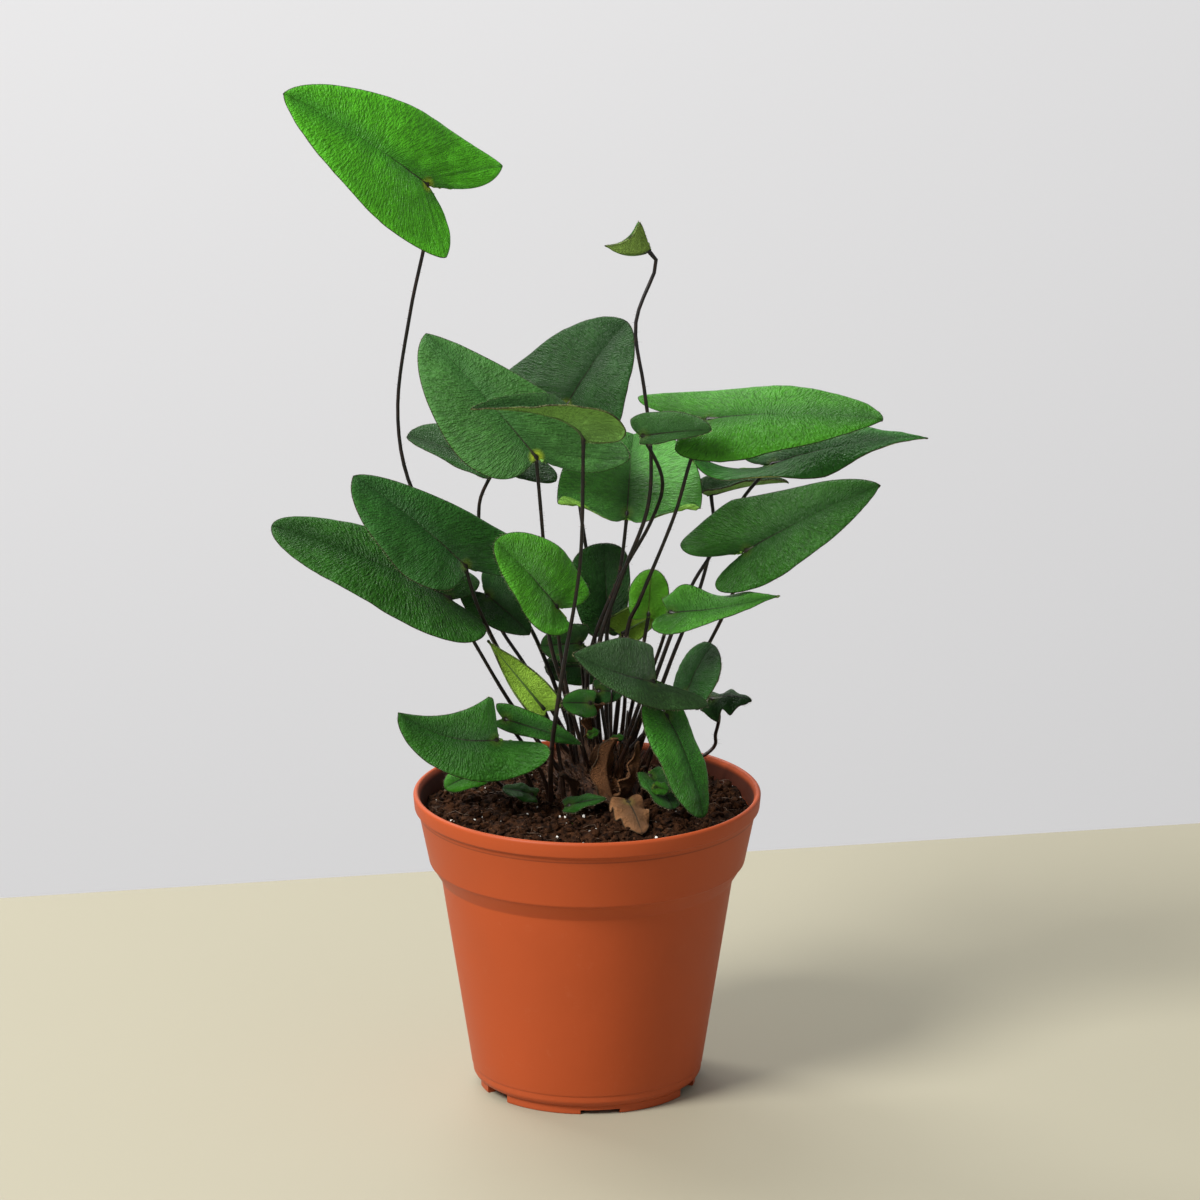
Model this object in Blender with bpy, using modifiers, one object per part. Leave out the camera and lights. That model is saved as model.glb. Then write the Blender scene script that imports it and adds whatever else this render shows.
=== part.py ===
# Potted heart fern: heart-shaped fronds on thin dark stipes that rise from one crown in a peat-filled pot.
# Metres, +Z up. The origin is the middle of the pot's base, where it rests. The front is towards -Y.

import math

import bmesh
import bpy
from mathutils import Matrix, Vector

# Driving sizes of the pot.
POT_HEIGHT = 0.0920
RIM_RADIUS = 0.0525
LIP_HEIGHT = 0.0048
BAND_TOP_RADIUS = 0.0510
BAND_CORNER_RADIUS = 0.0477
BAND_CORNER_Z = 0.0700
BODY_TOP_RADIUS = 0.0441
BODY_TOP_Z = 0.0652
BODY_BOTTOM_RADIUS = 0.0347
FOOT_RADIUS = 0.0330
FOOT_WIDTH = 0.0028
FOOT_HEIGHT = 0.0027
FLOOR_RECESS_Z = 0.0031
FLOOR_TOP_Z = 0.0048
CENTRE_PAD_RADIUS = 0.0190
WALL = 0.0014
POT_STEPS = 36
DRAIN_RADIUS = 0.0035
DRAIN_RING_RADIUS = 0.0250
DRAIN_COUNT = 6
DRAIN_SIDES = 12
DRAIN_CUTTER_DEPTH = 0.0120
FOOT_CUTTER_REACH = 0.0080

# The foot ring's open gaps, as middle and width in degrees round from the front, repeated half a turn on.
FOOT_GAPS = ((68.1, 18.4), (95.9, 13.2), (123.7, 18.4))
FOOT_NOTCH = (7.0, 20.9)
FOOT_NOTCH_HEIGHT = 0.0014

# Soil and crown.
SOIL_EDGE_Z = 0.0857
SOIL_MIDDLE_Z = 0.0880
CLEARANCE = 0.0003
CROWN_CENTRE = Vector((0.0040, 0.0120, 0.0))
CROWN_RADIUS = 0.0150
CROWN_BASE_Z = 0.0825
CROWN_TOP_Z = 0.1010
CROWN_SIDES = 20
CROWN_TAPER = 0.96
DOME_RADIUS = CROWN_RADIUS * 0.95
DOME_BASE_Z = SOIL_MIDDLE_Z + 0.0010
CROWN_PIT_DEPTH = 0.0400
STUB_COUNT = 8
STUB_SIDES = 4
STUB_BASE_RADIUS = 0.0015
STUB_END_RADIUS = 0.0008
STUB_SHORTEST = 0.0035
STUB_VARIATION = 0.0055
STUB_SINK = 0.0030
GOLDEN_ANGLE = math.radians(137.5)

# Fronds.
BLADE_THICKNESS = 0.0007
STIPE_RADIUS = 0.00068
STIPE_SAMPLES = 12
STALK_SAMPLES = 7
STIPE_BEVEL = 1
ROOT_DEPTH = 0.0050
HOLE_CLEARANCE = 0.00045
HOLE_TOP_Z = 0.1200
HOLE_SAMPLES = 6
NOTCH = 0.0010
ROUTE_STEPS = 12
RIB_SPACING = 2.2
NORMAL_STEP = 0.0001

# Where along its run the half outline has its first row, with a lobe and nearly without, where it goes from the
# lobe's back to its side, and where it goes on from the widest place.
FIRST_ROW = 0.09
FIRST_ROW_SHORT = 0.20
SHORT_LOBE = 0.0025
LOBE_BACK = 0.27
WIDEST = 0.52

# What a frond has where its own entry says nothing. Pairs are left and right as seen from above, looking
# along the blade from joint to tip. Angles are degrees; arch, bow, sweep, belly and spread are parts of a
# length; full and blunt say how far the edge swells before the tip; a wave is its height, how many there are
# along the edge, and where it starts in degrees; gap is what keeps the stipe's top clear of the blade.
FROND_DEFAULTS = dict(
    path=(), half=(0.014, 0.014), lobe=(0.010, 0.010), spread=(0.70, 0.70), belly=(0.10, 0.10),
    full=(1.0, 1.0), blunt=0.6, roll=0, twist=0, fold=(8, 8), cup=(-20, -20), droop=(-20, -20), arch=0.10,
    bow=0.50, sweep=0.0, wave=((0.0006, 2.0, 0), (0.0006, 2.0, 75)), gap=0.0003, rows=10, columns=3,
    colour="leaf_green", fused=False,
)
FLAT = ((0.0, 1.0, 0), (0.0, 1.0, 0))

FRONDS = [
    dict(name="tall_left", root=(-0.006, 0.018), joint=(-0.0475, 0.028, 0.273),
         tip=(-0.0897, 0.012, 0.3045), path=((-0.022, 0.017, 0.122), (-0.041, 0.020, 0.159),
               (-0.0535, 0.022, 0.182), (-0.057, 0.026, 0.205), (-0.053, 0.029, 0.234),
               (-0.048, 0.0305, 0.258)), half=(0.0195, 0.0205), lobe=(0.015, 0.0215),
         spread=(0.85, 0.92), belly=(0.06, -0.10), blunt=0.70, roll=-64, colour="leaf_young"),
    dict(name="tall_young", root=(0.004, 0.009), joint=(0.018, 0.004, 0.259), tip=(0.0058, 0.002, 0.261),
         path=((0.003, 0.007, 0.132), (0.010, 0.003, 0.157), (0.018, -0.001, 0.180),
               (0.019, -0.004, 0.200), (0.017, -0.002, 0.218), (0.0145, 0.001, 0.237),
               (0.0205, 0.0045, 0.2535)), half=(0.0108, 0.009), lobe=(0.001, 0.001),
         belly=(-0.05, -0.05), full=(0.30, 0.30), blunt=0.20, fold=(72, 84), cup=(-6, -6), droop=(0, 0),
         arch=-0.30, wave=FLAT, gap=0.0007, rows=8, columns=2, colour="leaf_young"),
    dict(name="upper_left", root=(-0.003, 0.005), joint=(-0.015, -0.003, 0.197),
         tip=(-0.048, 0.010, 0.232), path=((-0.006, 0.006, 0.118), (-0.0115, 0.004, 0.140),
               (-0.013, 0.003, 0.168)), half=(0.018, 0.023), lobe=(0.001, 0.019), spread=(0.30, 0.85),
         belly=(0.30, -0.25), full=(1.00, 0.00), blunt=(0.90, 0.25), roll=-52, cup=(-20, -25),
         droop=(0, -40), colour="leaf_grey"),
    dict(name="rear_top", root=(0.002, 0.024), joint=(-0.0065, 0.038, 0.202), tip=(0.012, 0.046, 0.2265),
         path=((0.002, 0.034, 0.138), (-0.002, 0.040, 0.168)), half=(0.027, 0.019), lobe=(0.009, 0.002),
         spread=(0.80, 0.80), belly=(-0.15, 0.15), full=(0.10, 0.50), blunt=(0.80, 0.80), roll=30,
         colour="leaf_dark"),
    dict(name="rear_left", root=(-0.003, 0.021), joint=(-0.028, 0.017, 0.188),
         tip=(-0.0545, 0.028, 0.1955), path=((-0.015, 0.022, 0.132), (-0.030, 0.021, 0.160),
               (-0.0325, 0.018, 0.176)), half=(0.005, 0.012), lobe=(0.001, 0.019), spread=(0.50, 0.35),
         blunt=1.00, roll=-35, droop=(0, -20), colour="leaf_dark"),
    dict(name="mid_left", root=(-0.005, 0.012), joint=(-0.036, -0.009, 0.165),
         tip=(-0.069, -0.016, 0.195), path=((-0.020, 0.009, 0.118), (-0.027, 0.003, 0.136),
               (-0.033, -0.0044, 0.152)), half=(0.0155, 0.019), lobe=(0.001, 0.018), spread=(0.30, 0.75),
         belly=(0.35, -0.25), full=(1.00, 0.00), blunt=(1.00, 0.45), roll=-60, droop=(0, -20),
         colour="leaf_dark"),
    dict(name="low_left", root=(-0.008, 0.006), joint=(-0.041, 0.000, 0.1525),
         tip=(-0.094, -0.007, 0.177), path=((-0.0225, 0.005, 0.117), (-0.033, 0.003, 0.136)),
         half=(0.0155, 0.013), lobe=(0.0135, 0.008), spread=(0.40, 0.70), blunt=(1.30, 1.00), roll=-42),
    dict(name="inner_left", root=(-0.004, 0.015), joint=(-0.030, 0.015, 0.149),
         tip=(-0.017, 0.012, 0.1375), path=((-0.017, 0.015, 0.124), (-0.026, 0.016, 0.138)),
         half=(0.008, 0.008), lobe=(0.006, 0.006), roll=50, rows=9, columns=2, colour="leaf_dark"),
    dict(name="centre_bright", root=(0.000, 0.003), joint=(-0.009, -0.004, 0.151),
         tip=(-0.0272, -0.010, 0.1732), path=((-0.005, 0.002, 0.118), (-0.008, 0.000, 0.136)),
         half=(0.010, 0.0145), lobe=(0.0085, 0.007), spread=(0.05, 0.70), belly=(0.10, 0.20),
         blunt=(1.00, 0.90), roll=-65, colour="leaf_young"),
    dict(name="rear_centre", root=(0.006, 0.022), joint=(0.006, 0.022, 0.136), tip=(0.005, 0.027, 0.162),
         path=((0.007, 0.023, 0.118),), half=(0.0105, 0.0078), lobe=(0.002, 0.002), spread=(0.30, 0.30),
         belly=(0.70, 0.75), blunt=1.30, rows=9, colour="leaf_dark"),
    dict(name="rear_round", root=(0.011, 0.018), joint=(0.0185, 0.010, 0.1445),
         tip=(0.0197, 0.014, 0.1575), path=((0.015, 0.013, 0.122),), half=(0.0068, 0.0062),
         lobe=(0.002, 0.002), spread=(0.60, 0.60), belly=(0.35, 0.35), blunt=1.20, rows=9, columns=2,
         colour="leaf_young"),
    dict(name="right_curled", root=(0.010, 0.006), joint=(0.025, -0.010, 0.151),
         tip=(0.057, -0.014, 0.1575), path=((0.016, 0.003, 0.119), (0.022, -0.003, 0.138)),
         half=(0.0075, 0.008), lobe=(0.002, 0.006), belly=(0.10, -0.05), full=(1.00, 0.00),
         blunt=(0.30, 0.10), roll=40, arch=-0.10, wave=((0.004, 1.60, -31), (0.0006, 2.00, 75)),
         colour="leaf_young"),
    dict(name="right_heart", root=(0.012, 0.010), joint=(0.0475, -0.006, 0.169),
         tip=(0.087, -0.012, 0.191), path=((0.028, 0.009, 0.120), (0.038, 0.006, 0.139),
               (0.044, -0.001, 0.155)), half=(0.016, 0.0125), lobe=(0.019, 0.013), spread=(0.70, 0.50),
         belly=(0.05, 0.15), full=(0.00, 1.00), blunt=(0.60, 0.60), roll=58,
         wave=((0.0022, 1.60, -76), (0.0006, 2.00, 75))),
    dict(name="top_right", root=(0.008, 0.012), joint=(0.036, -0.001, 0.2085),
         tip=(0.088, -0.008, 0.210), path=((0.012, 0.008, 0.139), (0.016, 0.004, 0.151),
               (0.026, -0.001, 0.178), (0.031, -0.002, 0.196)), half=(0.015, 0.0145),
         lobe=(0.022, 0.009), blunt=(1.00, 0.60), roll=35, fold=(-4, 10), cup=(-20, -65),
         colour="leaf_young"),
    dict(name="far_right", root=(0.013, 0.014), joint=(0.0555, 0.014, 0.1905), tip=(0.102, 0.006, 0.201),
         path=((0.023, 0.011, 0.131), (0.031, 0.011, 0.152), (0.038, 0.011, 0.164),
               (0.047, 0.013, 0.180)), half=(0.010, 0.0095), lobe=(0.010, 0.026), spread=(0.70, 0.20),
         blunt=0.20, roll=25, droop=(-20, -75), wave=((0.002, 3.00, 97), (0.0045, 1.55, -67)),
         colour="leaf_dark"),
    dict(name="front_top", root=(-0.011, -0.004), joint=(-0.001, -0.024, 0.208),
         tip=(-0.034, -0.034, 0.2205), path=((-0.0105, -0.0105, 0.109), (-0.007, -0.014, 0.135),
               (-0.002, -0.019, 0.169)), half=(0.013, 0.0085), lobe=(0.003, 0.001), spread=(0.70, 0.30),
         belly=(0.00, 0.35), full=(0.00, 0.60), blunt=(0.20, 0.60), roll=70, twist=-60, fold=(8, 90),
         arch=0.10, bow=0.15, sweep=-0.22, colour="leaf_grey"),
    dict(name="front_small", root=(0.001, 0.013), joint=(0.0165, -0.012, 0.206),
         tip=(0.0368, -0.018, 0.2095), path=((0.0005, 0.012, 0.129), (0.009, 0.007, 0.155),
               (0.019, 0.003, 0.175), (0.0225, -0.004, 0.190)), half=(0.0072, 0.003),
         lobe=(0.004, 0.001), spread=(0.70, 0.70), blunt=1.00, roll=60, rows=9, columns=2,
         colour="leaf_grey", fused=True),
    dict(name="centre_top", root=(0.006, 0.015), joint=(0.012, 0.010, 0.176), tip=(0.014, 0.028, 0.196),
         path=((0.006, 0.014, 0.137), (0.010, 0.011, 0.158)), half=(0.0225, 0.0245),
         lobe=(0.0095, 0.0095), spread=(0.60, 0.60), belly=(0.12, 0.12), blunt=1.00, fold=(27, 22),
         cup=(-5, -5), droop=(-95, -95), colour="leaf_green"),
    dict(name="rear_right", root=(0.015, 0.018), joint=(0.0373, 0.021, 0.1793),
         tip=(0.061, 0.028, 0.181), path=((0.025, 0.016, 0.127), (0.034, 0.018, 0.150),
               (0.038, 0.019, 0.168)), half=(0.007, 0.006), lobe=(0.004, 0.004), spread=(0.70, 0.70),
         roll=20, fold=(20, 60), colour="leaf_grey"),
    dict(name="front_low", root=(0.008, 0.000), joint=(0.020, -0.020, 0.1325),
         tip=(-0.004, -0.030, 0.144), path=((0.013, -0.009, 0.111),), half=(0.0085, 0.0125),
         lobe=(0.019, 0.001), spread=(0.75, 0.80), belly=(-0.15, 0.25), roll=-58, sweep=-0.13,
         colour="leaf_grey"),
    dict(name="low_right", root=(0.016, 0.006), joint=(0.0295, -0.001, 0.1225),
         tip=(0.0378, 0.002, 0.1375), path=((0.021, 0.003, 0.108),), half=(0.0095, 0.0115),
         lobe=(0.002, 0.002), belly=(0.45, 0.45), blunt=1.30, roll=10, wave=FLAT, rows=9, columns=2,
         colour="leaf_dark"),
    dict(name="pot_left", root=(-0.015, -0.0015), joint=(-0.027, -0.018, 0.1135),
         tip=(-0.056, -0.024, 0.124), path=((-0.020, -0.006, 0.102),), half=(0.0125, 0.0135),
         lobe=(0.016, 0.001), spread=(0.50, 0.90), belly=(0.10, 0.02), full=(1.00, -0.30),
         blunt=(0.90, 0.20), roll=-58, droop=(-50, 0), arch=-0.06, sweep=-0.18),
    dict(name="rear_turned", root=(0.010, 0.022), joint=(0.0105, 0.018, 0.1365),
         tip=(0.0245, 0.019, 0.1435), path=((0.0115, 0.020, 0.116),), half=(0.005, 0.007),
         lobe=(0.003, 0.003), roll=-80, rows=8, columns=2, colour="leaf_young", fused=True),
    dict(name="hanging_front", root=(0.0155, 0.001), joint=(0.024, -0.014, 0.120),
         tip=(0.035, -0.024, 0.091), path=((0.020, -0.007, 0.108),), half=(0.0075, 0.0115),
         lobe=(0.005, 0.005), belly=(0.10, 0.35), full=(1.00, 1.00), blunt=1.20, arch=0.12, rows=9,
         fused=True),
    dict(name="soil_right", root=(0.015, -0.007), joint=(0.019, -0.013, 0.101),
         tip=(0.026, -0.020, 0.0925), half=(0.0075, 0.0055), lobe=(0.002, 0.002), belly=(0.40, 0.40),
         blunt=1.30, rows=8, columns=2, fused=True),
    dict(name="shrivelled", root=(0.0205, 0.016), joint=(0.0378, 0.016, 0.1165),
         tip=(0.050, 0.012, 0.117), path=((0.0372, 0.020, 0.098), (0.039, 0.019, 0.104),
               (0.040, 0.017, 0.1105)), half=(0.005, 0.006), lobe=(0.003, 0.003), fold=(10, -50),
         arch=0.15, wave=((0.001, 2.50, 0), (0.0018, 2.50, 75)), rows=9, columns=2, colour="leaf_dark",
         fused=True),
    dict(name="rim_left", root=(-0.023, 0.003), joint=(-0.031, 0.000, 0.099),
         tip=(-0.043, -0.003, 0.0935), half=(0.005, 0.006), lobe=(0.003, 0.003), blunt=1.20, roll=-40,
         rows=8, columns=2, colour="leaf_young", fused=True),
    dict(name="low_turned", root=(-0.007, 0.001), joint=(-0.013, -0.001, 0.118),
         tip=(-0.030, -0.002, 0.140), path=((-0.009, 0.001, 0.106),), half=(0.006, 0.0045),
         lobe=(0.003, 0.003), blunt=0.10, roll=100, rows=8, columns=2, colour="leaf_young", fused=True),
    dict(name="low_folded", root=(-0.0115, 0.0025), joint=(-0.0245, -0.005, 0.116),
         tip=(-0.0015, -0.0065, 0.1085), path=((-0.015, 0.000, 0.100),), half=(0.005, 0.0035),
         lobe=(0.004, 0.003), roll=60, rows=8, columns=2, colour="leaf_green", fused=True),
    dict(name="inner_centre", root=(0.000, 0.019), joint=(-0.002, 0.013, 0.1345),
         tip=(-0.014, 0.010, 0.1345), path=((-0.001, 0.016, 0.120),), half=(0.006, 0.006),
         lobe=(0.003, 0.003), blunt=1.20, roll=-75, rows=8, columns=2, colour="leaf_grey", fused=True),
    dict(name="rear_low", root=(-0.001, 0.026), joint=(0.000, 0.024, 0.124), tip=(-0.013, 0.026, 0.123),
         path=((-0.001, 0.026, 0.110),), half=(0.006, 0.006), lobe=(0.003, 0.003), blunt=1.20, roll=-70,
         rows=8, columns=2, colour="leaf_dark", fused=True),
    dict(name="inner_low", root=(0.005, 0.004), joint=(0.001, -0.0015, 0.120),
         tip=(-0.0075, -0.003, 0.1205), path=((0.003, 0.001, 0.108),), half=(0.0045, 0.0045),
         lobe=(0.002, 0.002), blunt=1.20, roll=-60, rows=8, columns=2, colour="leaf_green", fused=True),
    dict(name="soil_left", root=(-0.018, -0.006), joint=(-0.0165, -0.008, 0.0933),
         tip=(-0.0255, -0.008, 0.0953), half=(0.0035, 0.0035), lobe=(0.002, 0.002), blunt=1.20, roll=-30,
         rows=8, columns=2, fused=True),
    dict(name="soil_front", root=(-0.0065, -0.010), joint=(-0.0055, -0.013, 0.0915),
         tip=(0.006, -0.014, 0.094), half=(0.0035, 0.003), lobe=(0.002, 0.002), roll=30, rows=8,
         columns=2, fused=True),
    dict(name="inner_dark", root=(0.0075, 0.003), joint=(0.0035, 0.003, 0.1225),
         tip=(0.011, 0.0015, 0.1225), path=((0.0055, 0.003, 0.110),), half=(0.004, 0.004),
         lobe=(0.002, 0.002), blunt=1.20, roll=60, rows=7, columns=2, colour="leaf_dark", fused=True),
]

DRY_LEAF = dict(
    name="dry_leaf", joint=(0.0125, -0.0180, 0.0945), tip=(0.0165, -0.0300, 0.0882), half=(0.0055, 0.0060),
    lobe=(0.003, 0.003), wave=((0.0010, 2.5, 40), (0.0010, 2.5, 120)), fold=(-8, -8), blunt=1.0, rows=9,
    colour="dry_leaf",
)

# Dead fronds that curl up out of the crown, part of its body.
WITHERED = [
    dict(name="withered_left", joint=(0.003, 0.001, 0.090), tip=(0.004, -0.003, 0.108), half=(0.003, 0.003),
         lobe=(0.002, 0.002), fold=(50, 50), arch=0.35, rows=7, columns=2, blunt=1.0),
    dict(name="withered_right", joint=(0.007, 0.003, 0.091), tip=(0.010, 0.000, 0.107), half=(0.003, 0.002),
         lobe=(0.002, 0.002), fold=(60, 40), arch=-0.30, rows=7, columns=2, blunt=1.0),
]


def as_vector(values):
    return Vector([float(value) for value in values])


def with_defaults(entry):
    return {**FROND_DEFAULTS, **entry}


def make_material(name, colour, roughness):
    made = bpy.data.materials.new(name)
    made.use_nodes = True
    shader = made.node_tree.nodes["Principled BSDF"]
    shader.inputs["Base Color"].default_value = (*colour, 1.0)
    shader.inputs["Roughness"].default_value = roughness
    shader.inputs["Metallic"].default_value = 0.0
    made.diffuse_color = (*colour, 1.0)
    return made


def make_materials():
    return {
        "terracotta_plastic": make_material("terracotta_plastic", (0.48, 0.11, 0.045), 0.55),
        "peat": make_material("peat", (0.020, 0.012, 0.008), 0.95),
        "crown_fibre": make_material("crown_fibre", (0.060, 0.028, 0.014), 0.90),
        "stipe_black": make_material("stipe_black", (0.012, 0.007, 0.005), 0.40),
        "leaf_green": make_material("leaf_green", (0.035, 0.150, 0.020), 0.50),
        "leaf_young": make_material("leaf_young", (0.080, 0.280, 0.025), 0.50),
        "leaf_dark": make_material("leaf_dark", (0.015, 0.060, 0.015), 0.50),
        "leaf_grey": make_material("leaf_grey", (0.070, 0.160, 0.060), 0.60),
        "dry_leaf": make_material("dry_leaf", (0.220, 0.110, 0.045), 0.85),
    }


def make_collection(name, hidden=False):
    made = bpy.data.collections.new(name)
    bpy.context.scene.collection.children.link(made)
    made.hide_render = hidden
    return made


def place(name, mesh, collection, material=None):
    made = bpy.data.objects.new(name, mesh)
    collection.objects.link(made)
    if material is not None:
        mesh.materials.append(material)
    return made


def as_cutter(obj):
    obj.hide_render = True
    obj.display_type = "WIRE"
    return obj


def to_mesh(bm, name):
    mesh = bpy.data.meshes.new(name)
    bm.to_mesh(mesh)
    bm.free()
    return mesh


def bake(obj):
    """Gives the object the mesh that its modifiers or its curve make, with what coincides welded."""
    bpy.context.view_layer.update()
    graph = bpy.context.evaluated_depsgraph_get()
    mesh = bpy.data.meshes.new_from_object(obj.evaluated_get(graph))
    bm = bmesh.new()
    bm.from_mesh(mesh)
    bmesh.ops.remove_doubles(bm, verts=bm.verts, dist=1e-6)
    bmesh.ops.triangulate(bm, faces=bm.faces)
    bm.to_mesh(mesh)
    bm.free()
    made = bpy.data.objects.new(obj.name + "_baked", mesh)
    made.matrix_world = obj.matrix_world
    for collection in obj.users_collection:
        collection.objects.link(made)
    name = obj.name
    bpy.data.objects.remove(obj)
    made.name = name
    return made


def add_boolean(obj, operation, collection):
    modifier = obj.modifiers.new(operation.lower(), "BOOLEAN")
    modifier.operation = operation
    modifier.operand_type = "COLLECTION"
    modifier.collection = collection
    modifier.solver = "MANIFOLD"
    return modifier


def empty_collection(collection):
    for obj in list(collection.objects):
        bpy.data.objects.remove(obj)
    bpy.data.collections.remove(collection)


def turned(name, profile, steps, collection, material):
    """A solid of revolution: the profile runs up the inside, over the rim and down the outside."""
    bm = bmesh.new()
    points = [bm.verts.new((radius, 0.0, height)) for radius, height in profile]
    for first, second in zip(points, points[1:]):
        bm.edges.new((first, second))
    obj = place(name, to_mesh(bm, name), collection, material)
    screw = obj.modifiers.new("turn", "SCREW")
    screw.axis = "Z"
    screw.steps = steps
    screw.render_steps = steps
    screw.use_merge_vertices = True
    screw.merge_threshold = 0.00001
    screw.use_smooth_shade = True
    return obj


def pot_outer_profile():
    """The outside of the pot from the rim down to the foot ring."""
    lip_bottom = POT_HEIGHT - LIP_HEIGHT
    return [
        (RIM_RADIUS - 0.0005, POT_HEIGHT),
        (RIM_RADIUS, POT_HEIGHT - 0.0006),
        (RIM_RADIUS - 0.0004, lip_bottom),
        (BAND_TOP_RADIUS, lip_bottom - 0.0004),
        (BAND_CORNER_RADIUS, BAND_CORNER_Z + 0.0006),
        (BAND_CORNER_RADIUS - 0.0006, BAND_CORNER_Z),
        (BODY_TOP_RADIUS, BODY_TOP_Z),
        (BODY_BOTTOM_RADIUS, FOOT_HEIGHT + 0.0016),
        (FOOT_RADIUS + 0.0010, FOOT_HEIGHT + 0.0004),
        (FOOT_RADIUS, FOOT_HEIGHT - 0.0002),
    ]


def outer_radius(z):
    """The pot's outer radius at a height, read from its profile."""
    profile = pot_outer_profile()
    for (upper_r, upper_z), (lower_r, lower_z) in zip(profile, profile[1:]):
        if lower_z <= z <= upper_z:
            return lower_r + (upper_r - lower_r) * (z - lower_z) / (upper_z - lower_z)
    return profile[-1][0]


def inner_profile(gap, lowest, highest):
    """The inside wall from bottom to top, a gap in from the wall's inner face."""
    heights = [lowest, BODY_TOP_Z + WALL * 0.4, BAND_CORNER_Z + WALL * 0.8, highest]
    return [(outer_radius(z) - WALL - gap, z) for z in heights]


def make_pot(collection, cutters, material):
    inside = inner_profile(0.0, FLOOR_TOP_Z, POT_HEIGHT - LIP_HEIGHT - 0.001)
    rim_inner = RIM_RADIUS - WALL - 0.0006
    inside += [(rim_inner, POT_HEIGHT - 0.0012), (rim_inner + 0.0007, POT_HEIGHT)]
    foot = [
        (FOOT_RADIUS, 0.0),
        (FOOT_RADIUS - FOOT_WIDTH, 0.0),
        (FOOT_RADIUS - FOOT_WIDTH, FLOOR_RECESS_Z),
        (CENTRE_PAD_RADIUS + 0.001, FLOOR_RECESS_Z),
        (CENTRE_PAD_RADIUS, 0.0),
        (0.0, 0.0),
    ]
    profile = [(0.0, FLOOR_TOP_Z)] + inside + pot_outer_profile() + foot
    pot = turned("pot", profile, POT_STEPS, collection, material)
    pot = bake(pot)
    for half_turn in (0, 180):
        for middle, width in FOOT_GAPS:
            foot_cutter("foot_gap", middle + half_turn, width, FOOT_HEIGHT, cutters)
        foot_cutter("foot_notch", FOOT_NOTCH[0] + half_turn, FOOT_NOTCH[1], FOOT_NOTCH_HEIGHT, cutters)
    for index in range(DRAIN_COUNT):
        drain_cutter(index, cutters)
    add_boolean(pot, "DIFFERENCE", cutters)
    return pot


def foot_cutter(name, middle, width, height, cutters):
    """A block across the foot ring at an angle round from the front, which opens a gap of that height."""
    across = 2 * FOOT_RADIUS * math.sin(math.radians(width / 2))
    angle = math.radians(middle - 90)
    bm = bmesh.new()
    bmesh.ops.create_cube(bm, size=1.0)
    bmesh.ops.scale(bm, verts=bm.verts, vec=(FOOT_CUTTER_REACH, across, 2 * height))
    bmesh.ops.translate(bm, verts=bm.verts, vec=(FOOT_RADIUS - FOOT_WIDTH / 2 + 0.0020, 0.0, 0.0))
    bmesh.ops.rotate(bm, verts=bm.verts, matrix=Matrix.Rotation(angle, 3, "Z"))
    return as_cutter(place(name, to_mesh(bm, name), cutters))


def drain_cutter(index, cutters):
    angle = 2 * math.pi * (index + 0.5) / DRAIN_COUNT
    bm = bmesh.new()
    bmesh.ops.create_cone(
        bm, cap_ends=True, segments=DRAIN_SIDES, radius1=DRAIN_RADIUS, radius2=DRAIN_RADIUS,
        depth=DRAIN_CUTTER_DEPTH,
    )
    bmesh.ops.translate(
        bm, verts=bm.verts,
        vec=(DRAIN_RING_RADIUS * math.cos(angle), DRAIN_RING_RADIUS * math.sin(angle), FLOOR_TOP_Z),
    )
    return as_cutter(place("drain_hole", to_mesh(bm, "drain_hole"), cutters))


def make_soil(collection, cutters, material):
    wall = inner_profile(CLEARANCE, FLOOR_TOP_Z + CLEARANCE, SOIL_EDGE_Z)
    top = [(0.044, SOIL_EDGE_Z + 0.0004), (0.030, SOIL_EDGE_Z + 0.0012), (0.0, SOIL_MIDDLE_Z)]
    profile = [(0.0, SOIL_MIDDLE_Z)] + top[1::-1] + wall[::-1] + [(0.0, FLOOR_TOP_Z + CLEARANCE)]
    soil = bake(turned("soil", profile, POT_STEPS, collection, material))
    bm = bmesh.new()
    radius = CROWN_RADIUS + CLEARANCE
    bmesh.ops.create_cone(
        bm, cap_ends=True, segments=CROWN_SIDES, radius1=radius, radius2=radius, depth=CROWN_PIT_DEPTH,
    )
    middle = CROWN_BASE_Z - CLEARANCE + CROWN_PIT_DEPTH / 2
    bmesh.ops.translate(bm, verts=bm.verts, vec=CROWN_CENTRE + Vector((0, 0, middle)))
    as_cutter(place("crown_pit", to_mesh(bm, "crown_pit"), cutters))
    add_boolean(soil, "DIFFERENCE", cutters)
    return soil


def crown_surface_z(x, y):
    """Height of the crown's dome at a place, or of the soil beside it."""
    out = math.hypot(x - CROWN_CENTRE.x, y - CROWN_CENTRE.y) / CROWN_RADIUS
    if out >= CROWN_TAPER:
        return SOIL_MIDDLE_Z
    return DOME_BASE_Z + (CROWN_TOP_Z - DOME_BASE_Z) * math.sqrt(1 - out * out)


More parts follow.
